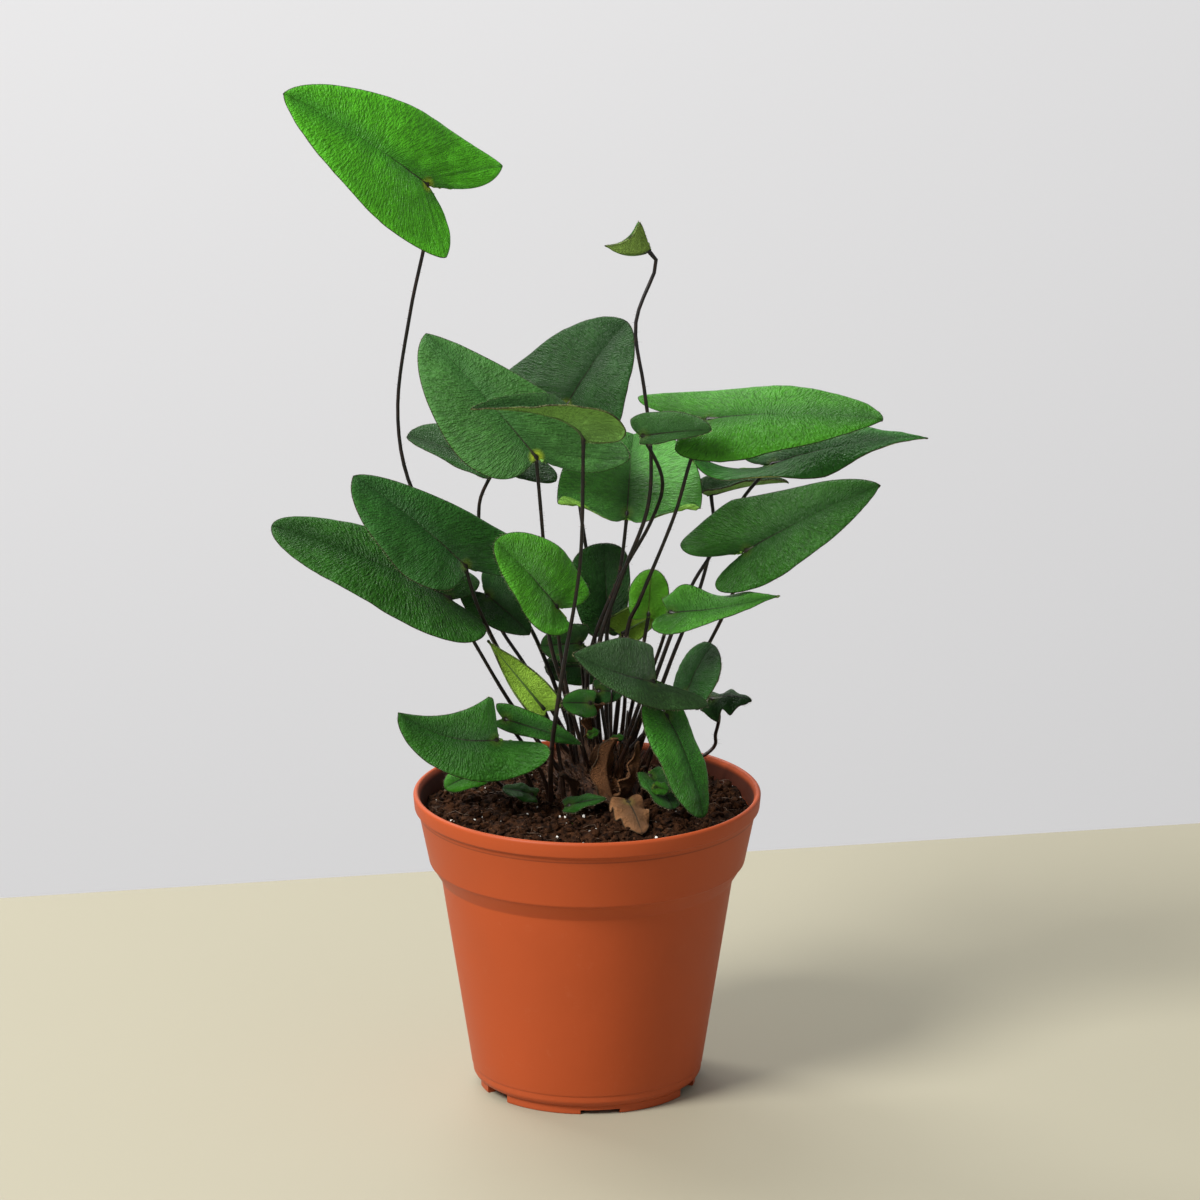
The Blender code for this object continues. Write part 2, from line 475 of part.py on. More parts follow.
def make_crown(collection, cutters, material):
    """A dome of old scaly stem bases with dead stubs standing out of it, joined as one body."""
    parts = make_collection("crown_parts", hidden=True)
    bm = bmesh.new()
    collar_top_z = DOME_BASE_Z + 0.0010
    bmesh.ops.create_cone(
        bm, cap_ends=True, segments=CROWN_SIDES, radius1=CROWN_RADIUS, radius2=CROWN_RADIUS * CROWN_TAPER,
        depth=collar_top_z - CROWN_BASE_Z,
    )
    middle = (collar_top_z + CROWN_BASE_Z) / 2
    bmesh.ops.translate(bm, verts=bm.verts, vec=CROWN_CENTRE + Vector((0, 0, middle)))
    crown = place("crown", to_mesh(bm, "crown"), collection, material)
    bm = bmesh.new()
    bmesh.ops.create_icosphere(bm, subdivisions=2, radius=1.0)
    dome_height = CROWN_TOP_Z - DOME_BASE_Z
    for vert in bm.verts:
        lump = 1 + 0.06 * math.sin(9 * vert.co.x + 2) * math.sin(8 * vert.co.y)
        lump += 0.04 * math.sin(7 * vert.co.z)
        vert.co = Vector((
            vert.co.x * DOME_RADIUS * lump,
            vert.co.y * DOME_RADIUS * lump,
            vert.co.z * dome_height * (1.0 if vert.co.z > 0 else 0.3),
        ))
        vert.co += CROWN_CENTRE + Vector((0, 0, DOME_BASE_Z))
    as_cutter(place("crown_dome", to_mesh(bm, "crown_dome"), parts))
    for index in range(STUB_COUNT):
        make_stub(index, parts)
    for entry in WITHERED:
        frond = with_defaults(entry)
        as_cutter(bake(make_blade(frond, frond["name"], parts, material)))
    add_boolean(crown, "UNION", parts)
    crown = bake(crown)
    empty_collection(parts)
    add_boolean(crown, "DIFFERENCE", cutters)
    return crown


def make_stub(index, parts):
    """A dead stem base, leaning out of the dome, placed by the golden angle."""
    out = 0.30 + 0.62 * math.sqrt((index + 0.5) / STUB_COUNT)
    angle = index * GOLDEN_ANGLE
    x = CROWN_CENTRE.x + CROWN_RADIUS * out * math.cos(angle)
    y = CROWN_CENTRE.y + CROWN_RADIUS * out * math.sin(angle)
    length = STUB_SHORTEST + STUB_VARIATION * math.sin(index * 2.3) ** 2
    lean = Vector((math.cos(angle) * out * 0.7, math.sin(angle) * out * 0.7, 1.0)).normalized()
    bm = bmesh.new()
    bmesh.ops.create_cone(
        bm, cap_ends=True, segments=STUB_SIDES, radius1=STUB_BASE_RADIUS, radius2=STUB_END_RADIUS,
        depth=length + 2 * STUB_SINK,
    )
    turn = Vector((0, 0, 1)).rotation_difference(lean).to_matrix()
    bmesh.ops.rotate(bm, verts=bm.verts, matrix=turn)
    start = Vector((x, y, crown_surface_z(x, y) - STUB_SINK))
    bmesh.ops.translate(bm, verts=bm.verts, vec=start + lean * (length / 2))
    return as_cutter(place("stub", to_mesh(bm, "stub"), parts))


def cubic(points, t):
    """Place at t on the Bezier curve through four control points."""
    a, b, c, d = points
    s = 1 - t
    return a * s ** 3 + b * (3 * s * s * t) + c * (3 * s * t * t) + d * t ** 3


def half_outline(frond, side, length, t):
    """Half of the heart's edge: from the notch round the lobe to the widest place and on to the tip."""
    lobe = frond["lobe"][side]
    width = frond["half"][side]
    spread = width * frond["spread"][side]
    broad = length * frond["belly"][side]
    full = frond["full"][side]
    blunt = frond["blunt"]
    if isinstance(blunt, tuple):
        blunt = blunt[side]
    notch = Vector((-NOTCH, 0.0))
    back = Vector((-lobe, spread))
    widest = Vector((broad, width))
    tip = Vector((length, 0.0))
    if t < LOBE_BACK:
        curve = (notch, Vector((-lobe * 0.30, spread * 0.15)), Vector((-lobe, spread * 0.40)), back)
        return cubic(curve, t / LOBE_BACK)
    if t < WIDEST:
        corner = Vector((-lobe, spread * 0.3 + width * 0.7))
        side_on = Vector((broad * 0.6 - lobe * 0.4, width))
        return cubic((back, corner, side_on, widest), (t - LOBE_BACK) / (WIDEST - LOBE_BACK))
    belly = Vector((broad + (length - broad) * 0.42, width * (2 + full) / 3))
    shoulder = Vector((length * min(0.80 + 0.20 * blunt, 1.0), width * (0.12 + 0.46 * blunt)))
    return cubic((widest, belly, shoulder, tip), (t - WIDEST) / (1 - WIDEST))


def blade_axes(frond):
    """Joint, tip and the blade's right and upper directions before it bends."""
    joint = as_vector(frond["joint"])
    tip = as_vector(frond["tip"])
    along = (tip - joint).normalized()
    right = along.cross(Vector((0, 0, 1))).normalized()
    up = right.cross(along)
    roll = math.radians(frond["roll"])
    turned_right = right * math.cos(roll) - up * math.sin(roll)
    turned_up = up * math.cos(roll) + right * math.sin(roll)
    return joint, tip, turned_right, turned_up


def rib_frame(frond, u):
    """Place on the midrib at a part u of its length, with the directions along, right and up there."""
    joint, tip, right, up = blade_axes(frond)
    chord = (tip - joint).length
    bend = joint + (tip - joint) * frond["bow"]
    bend += up * (frond["arch"] * chord) + right * (frond["sweep"] * chord)
    u = max(u, 0.0)
    spot = joint * (1 - u) ** 2 + bend * (2 * u * (1 - u)) + tip * (u * u)
    along = ((bend - joint) * (2 * (1 - u)) + (tip - bend) * (2 * u)).normalized()
    up = (up - along * up.dot(along)).normalized()
    up = Matrix.Rotation(math.radians(frond["twist"]) * u, 3, along) @ up
    return spot, along, along.cross(up), up


def blade_point(frond, length, p, q):
    """The flat place p along the midrib and q to its right, bent as the frond says."""
    side = 0 if q < 0 else 1
    width = frond["half"][side]
    lobe = frond["lobe"][side]
    spot, along, right, up = rib_frame(frond, p / length)
    if p < 0:
        droop = math.radians(frond["droop"][side]) or 1e-6
        reach = max(lobe, NOTCH)
        turn = droop * (-p / reach)
        radius = reach / droop
        spot = spot - along * (radius * math.sin(turn)) - up * (radius * (1 - math.cos(turn)))
        up = up * math.cos(turn) - along * math.sin(turn)
    out = abs(q) / width
    fold = math.radians(frond["fold"][side])
    cup = math.radians(frond["cup"][side]) or 1e-6
    radius = width / cup
    across = radius * (math.sin(fold + cup * out) - math.sin(fold))
    lift = radius * (math.cos(fold) - math.cos(fold + cup * out))
    height, count, phase = frond["wave"][side]
    run = (p + lobe) / (length + lobe)
    lift += height * out * out * math.sin(2 * math.pi * count * run + math.radians(phase))
    return spot + right * (across if q >= 0 else -across) + up * lift


def blade_normal(frond, length, p, q):
    """The direction straight out of the blade's upper face at a flat place."""
    ahead = blade_point(frond, length, p + NORMAL_STEP, q) - blade_point(frond, length, p - NORMAL_STEP, q)
    beside = blade_point(frond, length, p, q + NORMAL_STEP) - blade_point(frond, length, p, q - NORMAL_STEP)
    return beside.cross(ahead).normalized()


def blade_mesh(frond):
    """A grid drawn out into a heart and bent, with a second face a blade's thickness under the first."""
    rows = frond["rows"]
    columns = frond["columns"]
    length = (as_vector(frond["tip"]) - as_vector(frond["joint"])).length
    bm = bmesh.new()
    under = bm.verts.layers.float_vector.new("under")
    bmesh.ops.create_grid(bm, x_segments=2 * columns, y_segments=rows, size=1.0)
    for vert in bm.verts:
        side = 0 if vert.co.x < 0 else 1
        r = abs(vert.co.x)
        run = (vert.co.y + 1) / 2
        first = FIRST_ROW if frond["lobe"][side] > SHORT_LOBE else FIRST_ROW_SHORT
        edge = half_outline(frond, side, length, first + (1 - first) * run)
        rib = -NOTCH + (length + NOTCH) * (FIRST_ROW + (1 - FIRST_ROW) * run) ** RIB_SPACING
        p = rib * (1 - r) + edge.x * r
        q = edge.y * r * (1 if side else -1)
        vert.co = blade_point(frond, length, p, q)
        vert[under] = blade_normal(frond, length, p, q) * -BLADE_THICKNESS
    bmesh.ops.remove_doubles(bm, verts=bm.verts, dist=1e-5)
    bmesh.ops.triangulate(bm, faces=bm.faces)
    lower = bmesh.ops.extrude_face_region(bm, geom=bm.faces[:], use_keep_orig=True)["geom"]
    for item in lower:
        if isinstance(item, bmesh.types.BMVert):
            item.co += item[under]
    bmesh.ops.triangulate(bm, faces=bm.faces)
    bmesh.ops.recalc_face_normals(bm, faces=bm.faces)
    return to_mesh(bm, frond["name"])


def smooth_path(points, count):
    """Places at even steps along a smooth curve through the route's own points."""
    ends = [points[0] * 2 - points[1]] + points + [points[-1] * 2 - points[-2]]
    fine = []
    for a, b, c, d in zip(ends, ends[1:], ends[2:], ends[3:]):
        for step in range(ROUTE_STEPS):
            t = step / ROUTE_STEPS
            bend = (a * 2 - b * 5 + c * 4 - d) * t ** 2 + (b * 3 - a - c * 3 + d) * t ** 3
            fine.append((b * 2 + (c - a) * t + bend) / 2)
    fine.append(points[-1])
    lengths = [0.0]
    for first, second in zip(fine, fine[1:]):
        lengths.append(lengths[-1] + (second - first).length)
    found = []
    index = 0
    for step in range(count):
        wanted = lengths[-1] * step / (count - 1)
        while index < len(fine) - 2 and lengths[index + 1] < wanted:
            index += 1
        part = (wanted - lengths[index]) / (lengths[index + 1] - lengths[index])
        found.append(fine[index].lerp(fine[index + 1], part))
    return found


def stipe_route(frond):
    """The stipe's own points: down in its hole, up out of it, along the path and to the blade's underside."""
    x, y = frond["root"]
    surface = crown_surface_z(x, y)
    route = [Vector((x, y, surface - ROOT_DEPTH)), Vector((x, y, surface + 0.001))]
    route += [as_vector(point) for point in frond["path"]]
    joint, _, _, up = rib_frame(frond, 0.0)
    heading = (joint - route[-1]).normalized()
    slant = math.sqrt(max(0.0, 1 - heading.dot(up) ** 2))
    drop = BLADE_THICKNESS + frond["gap"] + STIPE_RADIUS * slant
    if frond["fused"]:
        drop = BLADE_THICKNESS / 2
    return route + [joint - up * drop]


def tube(name, points, radius, bevel, collection, material=None):
    curve = bpy.data.curves.new(name, "CURVE")
    curve.dimensions = "3D"
    curve.bevel_depth = radius
    curve.bevel_resolution = bevel
    curve.use_fill_caps = True
    spline = curve.splines.new("POLY")
    spline.points.add(len(points) - 1)
    for place_on, point in zip(spline.points, points):
        place_on.co = (*point, 1.0)
    obj = bpy.data.objects.new(name, curve)
    collection.objects.link(obj)
    if material is not None:
        curve.materials.append(material)
    return obj


def hole_for(frond, points, cutters):
    """The clear way that a stipe needs through the crown and the soil."""
    low = [point.copy() for point in points[:HOLE_SAMPLES] if point.z < HOLE_TOP_Z]
    low.append(points[len(low)])
    low[0].z -= CLEARANCE
    sleeve = tube(frond["name"] + "_hole", low, STIPE_RADIUS + HOLE_CLEARANCE, STIPE_BEVEL, cutters)
    return as_cutter(bake(sleeve))


def make_blade(frond, name, collection, material):
    return place(name, blade_mesh(frond), collection, material)


def make_tall_frond(frond, collection, holes, materials):
    """A frond whose blade and stipe differ in colour, so each is a body of its own."""
    make_blade(frond, frond["name"] + "_blade", collection, materials[frond["colour"]])
    points = smooth_path(stipe_route(frond), STIPE_SAMPLES)
    tube(frond["name"] + "_stipe", points, STIPE_RADIUS, STIPE_BEVEL, collection, materials["stipe_black"])
    hole_for(frond, points, holes)


def make_small_frond(frond, collection, holes, materials):
    """A frond low in the plant, whose short stalk is joined to its blade."""
    stalk = make_collection("stalk", hidden=True)
    blade = bake(make_blade(frond, frond["name"] + "_frond", collection, materials[frond["colour"]]))
    points = smooth_path(stipe_route(frond), STALK_SAMPLES)
    bake(tube("stalk", points, STIPE_RADIUS, STIPE_BEVEL, stalk))
    hole_for(frond, points, holes)
    add_boolean(blade, "UNION", stalk)
    bake(blade)
    empty_collection(stalk)


def main():
    for obj in list(bpy.data.objects):
        bpy.data.objects.remove(obj)
    materials = make_materials()
    plant = make_collection("potted_heart_fern")
    pot_cutters = make_collection("pot_cutters", hidden=True)
    soil_cutters = make_collection("soil_cutters", hidden=True)
    holes = make_collection("stipe_holes", hidden=True)
    for entry in FRONDS:
        frond = with_defaults(entry)
        make = make_small_frond if frond["fused"] else make_tall_frond
        make(frond, plant, holes, materials)
    make_blade(with_defaults(DRY_LEAF), "dry_leaf", plant, materials["dry_leaf"])
    make_pot(plant, pot_cutters, materials["terracotta_plastic"])
    soil = make_soil(plant, soil_cutters, materials["peat"])
    add_boolean(soil, "DIFFERENCE", holes)
    make_crown(plant, holes, materials["crown_fibre"])


main()
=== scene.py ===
import math
import random

import bmesh
import bpy
import numpy as np
from mathutils import Matrix, Vector, noise


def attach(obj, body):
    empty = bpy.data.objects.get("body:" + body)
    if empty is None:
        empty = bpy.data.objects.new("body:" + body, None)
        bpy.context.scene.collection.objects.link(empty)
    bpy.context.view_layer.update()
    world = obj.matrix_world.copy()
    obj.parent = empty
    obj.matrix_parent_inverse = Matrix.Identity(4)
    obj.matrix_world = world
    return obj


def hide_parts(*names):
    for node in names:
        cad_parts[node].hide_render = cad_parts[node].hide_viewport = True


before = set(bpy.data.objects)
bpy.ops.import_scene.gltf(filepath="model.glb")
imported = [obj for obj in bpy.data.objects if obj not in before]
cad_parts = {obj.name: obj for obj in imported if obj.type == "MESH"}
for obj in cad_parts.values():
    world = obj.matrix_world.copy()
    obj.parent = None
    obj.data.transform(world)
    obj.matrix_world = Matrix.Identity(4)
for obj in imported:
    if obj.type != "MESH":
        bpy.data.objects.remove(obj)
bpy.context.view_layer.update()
upwards = Vector((0.0, 0.0, 1.0))
collection = bpy.context.scene.collection

cameraSettings = dict(aim=(0.0039, 0.0, 0.1518), distance=2.346, pitch=16.2, lens=234.8, sensor=36.0)
stageSettings = dict(
    edgeLeft=(-0.192, 0.175), edgeRight=(0.206, 0.255),  # where the table's far edge runs behind the pot
    tableReach=3.0, tableDepth=2.6, tableThick=0.03,
    wallY=3.2, wallHeight=3.6,  # beyond every camera that looks from the back
    tableColour=(0.352, 0.328, 0.242), wallColour=(0.83, 0.828, 0.832), skyColour=(0.96, 0.97, 1.0), sky=0.36,
)
lightSettings = dict(
    key=dict(place=(-1.35, -1.15, 1.8), size=1.0, watts=86.0, colour=(1.0, 0.98, 0.95)),
    fill=dict(place=(1.7, -1.3, 0.9), size=1.8, watts=4.0, colour=(0.93, 0.96, 1.0)),
    back=dict(place=(-0.4, 1.00, 1.5), size=0.8, watts=9.0, colour=(1.0, 1.0, 0.97)),
    wall=dict(place=(-1.2, 1.2, 1.6), size=1.0, watts=47.0, colour=(1.0, 0.99, 0.98), aim=(0.0, 3.2, -0.8)),
)


def linkObject(name, data):
    made = bpy.data.objects.new(name, data)
    collection.objects.link(made)
    return made


def finishedMesh(bm, name, material=None, smooth=True):
    mesh = bpy.data.meshes.new(name)
    bm.to_mesh(mesh)
    bm.free()
    if smooth:
        mesh.shade_smooth()
    if material is not None:
        mesh.materials.append(material)
    return mesh


def standFor(piece, slot, *nodes):
    # The piece goes with the whole plant and takes the place of these solids.
    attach(piece, "root")
    if nodes:
        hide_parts(*nodes)
    return piece


def makePiece(bm, name, material, slot, *nodes, smooth=True):
    return standFor(linkObject(name, finishedMesh(bm, name, material, smooth)), slot, *nodes)


def makeCamera(settings):
    pitch = math.radians(settings["pitch"])
    forward = Vector((0.0, math.cos(pitch), -math.sin(pitch)))
    data = bpy.data.cameras.new("camera")
    data.lens = settings["lens"]
    data.sensor_width = settings["sensor"]
    camera = linkObject("camera", data)
    camera.location = Vector(settings["aim"]) - forward * settings["distance"]
    camera.rotation_euler = (math.pi / 2 - pitch, 0.0, 0.0)
    bpy.context.scene.camera = camera


def makeLight(name, settings):
    data = bpy.data.lights.new(name, "AREA")
    data.shape = "DISK"
    data.size = settings["size"]
    data.energy = settings["watts"]
    data.color = settings["colour"]
    light = linkObject(name, data)
    light.location = settings["place"]
    aim = Vector(settings.get("aim", cameraSettings["aim"]))
    light.rotation_euler = (aim - light.location).to_track_quat("-Z", "Y").to_euler()


# Small helpers for node materials.
def newMaterial(name, roughness=0.5, specular=0.5):
    material = bpy.data.materials.new(name)
    material.use_nodes = True
    shader = material.node_tree.nodes["Principled BSDF"]
    shader.inputs["Roughness"].default_value = roughness
    shader.inputs["Specular IOR Level"].default_value = specular
    return material, shader


def addNode(material, kind, values=None, **settings):
    made = material.node_tree.nodes.new("ShaderNode" + kind)
    for key, value in settings.items():
        setattr(made, key, value)
    for key, value in (values or {}).items():
        join(material, value, made.inputs[key])
    return made


def join(material, value, socket):
    if isinstance(value, bpy.types.NodeSocket):
        material.node_tree.links.new(value, socket)
    elif isinstance(value, bpy.types.Node):
        material.node_tree.links.new(value.outputs[0], socket)
    else:
        socket.default_value = (*value, 1.0) if socket.type == "RGBA" and len(value) == 3 else value


def objectPlace(material):
    return addNode(material, "TexCoord").outputs["Object"]


def calc(material, operation, first, second=0.0):
    return addNode(material, "Math", {0: first, 1: second}, operation=operation)


def vectorCalc(material, operation, first, second=(0.0, 0.0, 0.0)):
    made = addNode(material, "VectorMath", {0: first, 1: second}, operation=operation)
    return made.outputs["Value" if operation == "LENGTH" else "Vector"]


def attribute(material, name, output="Vector"):
    return addNode(material, "Attribute", attribute_name=name).outputs[output]


def between(material, value, low, high, start=0.0, end=1.0):
    # Takes low..high of a value smoothly to start..end.
    made = addNode(material, "MapRange", {"Value": value}, interpolation_type="SMOOTHSTEP")
    for key, number in (("From Min", low), ("From Max", high), ("To Min", start), ("To Max", end)):
        made.inputs[key].default_value = number
    return made


def mixed(material, factor, first, second, blend="MIX"):
    made = addNode(material, "Mix", data_type="RGBA", blend_type=blend)
    join(material, factor, made.inputs[0])
    join(material, first, made.inputs[6])
    join(material, second, made.inputs[7])
    return made.outputs[2]


def grain(material, place, scale, detail=3.0, roughness=0.55):
    values = {"Vector": place, "Scale": scale, "Detail": detail, "Roughness": roughness}
    return addNode(material, "TexNoise", values).outputs["Fac"]


def bumped(material, shader, height, strength, distance):
    made = addNode(material, "Bump", {"Height": height, "Strength": strength, "Distance": distance})
    join(material, made, shader.inputs["Normal"])


def plainMaterial(name, colour, roughness, grainScale=40.0, depth=0.0002, spread=0.06):
    material, shader = newMaterial(name, roughness=roughness)
    speckle = grain(material, objectPlace(material), grainScale)
    darker = tuple(part * (1.0 - spread) for part in colour)
    lighter = tuple(min(1.0, part * (1.0 + spread)) for part in colour)
    join(material, mixed(material, speckle, darker, lighter), shader.inputs["Base Color"])
    bumped(material, shader, speckle, 0.3, depth)
    return material


def makeStage(settings):
    left = Vector((*settings["edgeLeft"], 0.0))
    right = Vector((*settings["edgeRight"], 0.0))
    along = (right - left).normalized()
    toCamera = along.cross(upwards)
    middle = (left + right) / 2
    bm = bmesh.new()
    bmesh.ops.create_cube(bm, size=1.0)
    size = Vector((2 * settings["tableReach"], settings["tableDepth"], settings["tableThick"]))
    bmesh.ops.scale(bm, verts=bm.verts, vec=size)
    turn = Matrix.Rotation(math.atan2(along.y, along.x), 3, "Z")
    bmesh.ops.rotate(bm, verts=bm.verts, matrix=turn)
    bmesh.ops.translate(bm, verts=bm.verts, vec=middle + toCamera * size.y / 2 - upwards * size.z / 2)
    bmesh.ops.bevel(bm, geom=bm.edges, offset=0.0015, affect="EDGES", segments=3, profile=0.5, material=-1)
    colour = plainMaterial("table_finish", settings["tableColour"], 0.65, 3.0, 0.00005, 0.02)
    table = linkObject("table", finishedMesh(bm, "table", colour, smooth=False))
    bm = bmesh.new()
    bmesh.ops.create_grid(bm, x_segments=1, y_segments=1, size=settings["wallHeight"])
    bmesh.ops.rotate(bm, verts=bm.verts, matrix=Matrix.Rotation(math.pi / 2, 3, "X"))
    bmesh.ops.translate(bm, verts=bm.verts, vec=(0.0, settings["wallY"], 0.0))
    paint = plainMaterial("wall_finish", settings["wallColour"], 0.9, 2.0, 0.0001, 0.01)
    wall = linkObject("wall", finishedMesh(bm, "wall", paint, smooth=False))
    world = bpy.data.worlds.new("studio")
    world.use_nodes = True
    background = world.node_tree.nodes["Background"]
    background.inputs["Color"].default_value = (*settings["skyColour"], 1.0)
    background.inputs["Strength"].default_value = settings["sky"]
    bpy.context.scene.world = world


makeCamera(cameraSettings)
for lightName, lightValues in lightSettings.items():
    makeLight(lightName, lightValues)
makeStage(stageSettings)
bpy.context.scene.view_settings.view_transform = "Standard"
print("camera, lights and table are in place")

# The pot: a turned wall with a collar, a step line near the foot and gaps under the foot ring.
potSettings = dict(
    height=0.092, rim=0.0525, lip=0.0048, bandTop=0.051, bandCorner=0.0477, bandZ=0.07, bodyTop=0.0441,
    bodyZ=0.0652, bodyBottom=0.0347, foot=0.033, footWidth=0.0028, footHeight=0.0027, recess=0.0031,
    floor=0.0048, pad=0.019, wall=0.0014, stepZ=0.0064, stepDepth=0.00025, steps=160, corner=0.00045,
    gaps=((68.1, 18.4), (95.9, 13.2), (123.7, 18.4)), notch=(7.0, 20.9), notchHeight=0.0014,
    drain=0.0035, drainRing=0.025, drains=6, colour=(0.4, 0.066, 0.014), innerRim=0.0506, sharpFrom=38,
)


def outerProfile(pot):
    lipZ = pot["height"] - pot["lip"]
    step = pot["stepZ"]
    slope = (pot["bodyTop"] - pot["bodyBottom"]) / (pot["bodyZ"] - pot["footHeight"] - 0.0016)
    stepRadius = pot["bodyBottom"] + slope * (step - pot["footHeight"] - 0.0016)
    return [
        (pot["rim"] - 0.0005, pot["height"]), (pot["rim"], pot["height"] - 0.0006), (pot["rim"] - 0.0004, lipZ),
        (pot["bandTop"], lipZ - 0.0004), (pot["bandCorner"], pot["bandZ"] + 0.0006),
        (pot["bandCorner"] - 0.0006, pot["bandZ"]), (pot["bodyTop"], pot["bodyZ"]),
        (stepRadius, step), (stepRadius - pot["stepDepth"], step - 0.0003),
        (pot["bodyBottom"], pot["footHeight"] + 0.0016), (pot["foot"] + 0.001, pot["footHeight"] + 0.0004),
        (pot["foot"], pot["footHeight"] - 0.0002),
    ]


def outerRadius(pot, z):
    profile = outerProfile(pot)
    for (upperR, upperZ), (lowerR, lowerZ) in zip(profile, profile[1:]):
        if lowerZ <= z <= upperZ:
            return lowerR + (upperR - lowerR) * (z - lowerZ) / (upperZ - lowerZ)
    return profile[-1][0]


def eased(points, radius):
    # Rounds each inner corner of a profile with a short curve.
    made = [Vector(points[0])]
    for before, corner, after in zip(points, points[1:], points[2:]):
        before, corner, after = Vector(before), Vector(corner), Vector(after)
        reachIn = min(radius, (before - corner).length * 0.45)
        reachOut = min(radius, (after - corner).length * 0.45)
        start = corner + (before - corner).normalized() * reachIn
        end = corner + (after - corner).normalized() * reachOut
        for part in (0.0, 0.33, 0.67, 1.0):
            made.append(start * (1 - part) ** 2 + corner * (2 * part * (1 - part)) + end * part ** 2)
    return made + [Vector(points[-1])]


def spun(profile, steps, name, material):
    bm = bmesh.new()
    verts = [bm.verts.new((r, 0.0, z)) for r, z in profile]
    edges = [bm.edges.new(pair) for pair in zip(verts, verts[1:])]
    bmesh.ops.spin(
        bm, geom=verts + edges, cent=(0, 0, 0), axis=(0, 0, 1), angle=2 * math.pi, steps=steps,
        use_merge=True, use_duplicate=False,
    )
    bmesh.ops.remove_doubles(bm, verts=bm.verts, dist=1e-6)
    bmesh.ops.recalc_face_normals(bm, faces=bm.faces)
    return linkObject(name, finishedMesh(bm, name, material))


def footCutter(pot, middle, width, height):
    reach = 0.008
    across = 2 * pot["foot"] * math.sin(math.radians(width / 2))
    bm = bmesh.new()
    bmesh.ops.create_cube(bm, size=1.0)
    bmesh.ops.scale(bm, verts=bm.verts, vec=(reach, across, 2 * height))
    bmesh.ops.translate(bm, verts=bm.verts, vec=(pot["foot"] - pot["footWidth"] + reach * 0.42, 0.0, 0.0))
    bmesh.ops.rotate(bm, verts=bm.verts, matrix=Matrix.Rotation(math.radians(middle - 90), 3, "Z"))
    return bm


def cutAway(target, bm):
    cutter = linkObject("cutter", finishedMesh(bm, "cutter", smooth=False))
    boolean = target.modifiers.new("cut", "BOOLEAN")
    boolean.operation = "DIFFERENCE"
    boolean.object = cutter
    boolean.solver = "MANIFOLD"
    bpy.context.view_layer.update()
    made = bpy.data.meshes.new_from_object(target.evaluated_get(bpy.context.evaluated_depsgraph_get()))
    target.modifiers.clear()
    target.data = made
    bpy.data.objects.remove(cutter)


def potMaterial(pot):
    material, shader = newMaterial("terracotta_plastic", specular=0.25)
    place = objectPlace(material)
    cloudy = grain(material, place, 28.0, 4.0)
    fine = grain(material, place, 2600.0, 2.0)
    height = addNode(material, "SeparateXYZ", {0: place}).outputs["Z"]
    shade = between(material, cloudy, 0.3, 0.7)
    body = mixed(material, shade, tuple(part * 0.94 for part in pot["colour"]), pot["colour"])
    scuff = calc(material, "MULTIPLY", between(material, grain(material, place, 160.0, 5.0, 0.7), 0.6, 0.78), 0.1)
    body = mixed(material, scuff, body, (0.55, 0.22, 0.12))
    dusty = calc(material, "MULTIPLY", between(material, height, 0.012, 0.0, 0.0, 0.22), cloudy)
    body = mixed(material, dusty, body, (0.25, 0.08, 0.04))
    # Painted shade: the inside of the wall just above the soil is darkened to near black, where shade falls inside
    # the pot.
    flat = vectorCalc(material, "MULTIPLY", place, (1.0, 1.0, 0.0))
    radius = vectorCalc(material, "LENGTH", flat)
    inner = between(material, radius, pot["innerRim"] + 0.0002, pot["innerRim"], 0.0, 0.9)
    inner = calc(material, "MULTIPLY", inner, between(material, height, 0.0914, 0.0896))
    inner = calc(material, "MULTIPLY", inner, between(material, height, 0.085, 0.0854))
    join(material, mixed(material, inner, body, (0.03, 0.01, 0.006)), shader.inputs["Base Color"])
    join(material, between(material, cloudy, 0.2, 0.8, 0.46, 0.58), shader.inputs["Roughness"])
    bumped(material, shader, fine, 0.25, 0.00004)
    return material


def makePot(pot):
    wall = pot["wall"]
    inside = [(0.0, pot["floor"])]
    lipZ = pot["height"] - pot["lip"] - 0.001
    for z in (pot["floor"], pot["bodyZ"] + wall * 0.4, pot["bandZ"] + wall * 0.8, lipZ):
        inside.append((outerRadius(pot, z) - wall, z))
    rimInner = pot["rim"] - wall - 0.0006
    inside += [(rimInner, pot["height"] - 0.0012), (rimInner + 0.0007, pot["height"])]
    foot = [
        (pot["foot"], 0.0), (pot["foot"] - pot["footWidth"], 0.0), (pot["foot"] - pot["footWidth"], pot["recess"]),
        (pot["pad"] + 0.001, pot["recess"]), (pot["pad"], 0.0), (0.0, 0.0),
    ]
    made = spun(eased(inside + outerProfile(pot) + foot, pot["corner"]), pot["steps"], "pot_wall", potMaterial(pot))
    for halfTurn in (0, 180):
        for middle, width in pot["gaps"]:
            cutAway(made, footCutter(pot, middle + halfTurn, width, pot["footHeight"]))
        cutAway(made, footCutter(pot, pot["notch"][0] + halfTurn, pot["notch"][1], pot["notchHeight"]))
    for index in range(pot["drains"]):
        angle = 2 * math.pi * (index + 0.5) / pot["drains"]
        bm = bmesh.new()
        bmesh.ops.create_cone(
            bm, cap_ends=True, segments=32, radius1=pot["drain"], radius2=pot["drain"], depth=0.012,
        )
        spot = (pot["drainRing"] * math.cos(angle), pot["drainRing"] * math.sin(angle), pot["floor"])
        bmesh.ops.translate(bm, verts=bm.verts, vec=spot)
        cutAway(made, bm)
    made.data.shade_smooth()
    made.data.set_sharp_from_angle(angle=math.radians(pot["sharpFrom"]))
    return standFor(made, "terracotta_plastic", "pot")


makePot(potSettings)
print("pot done")


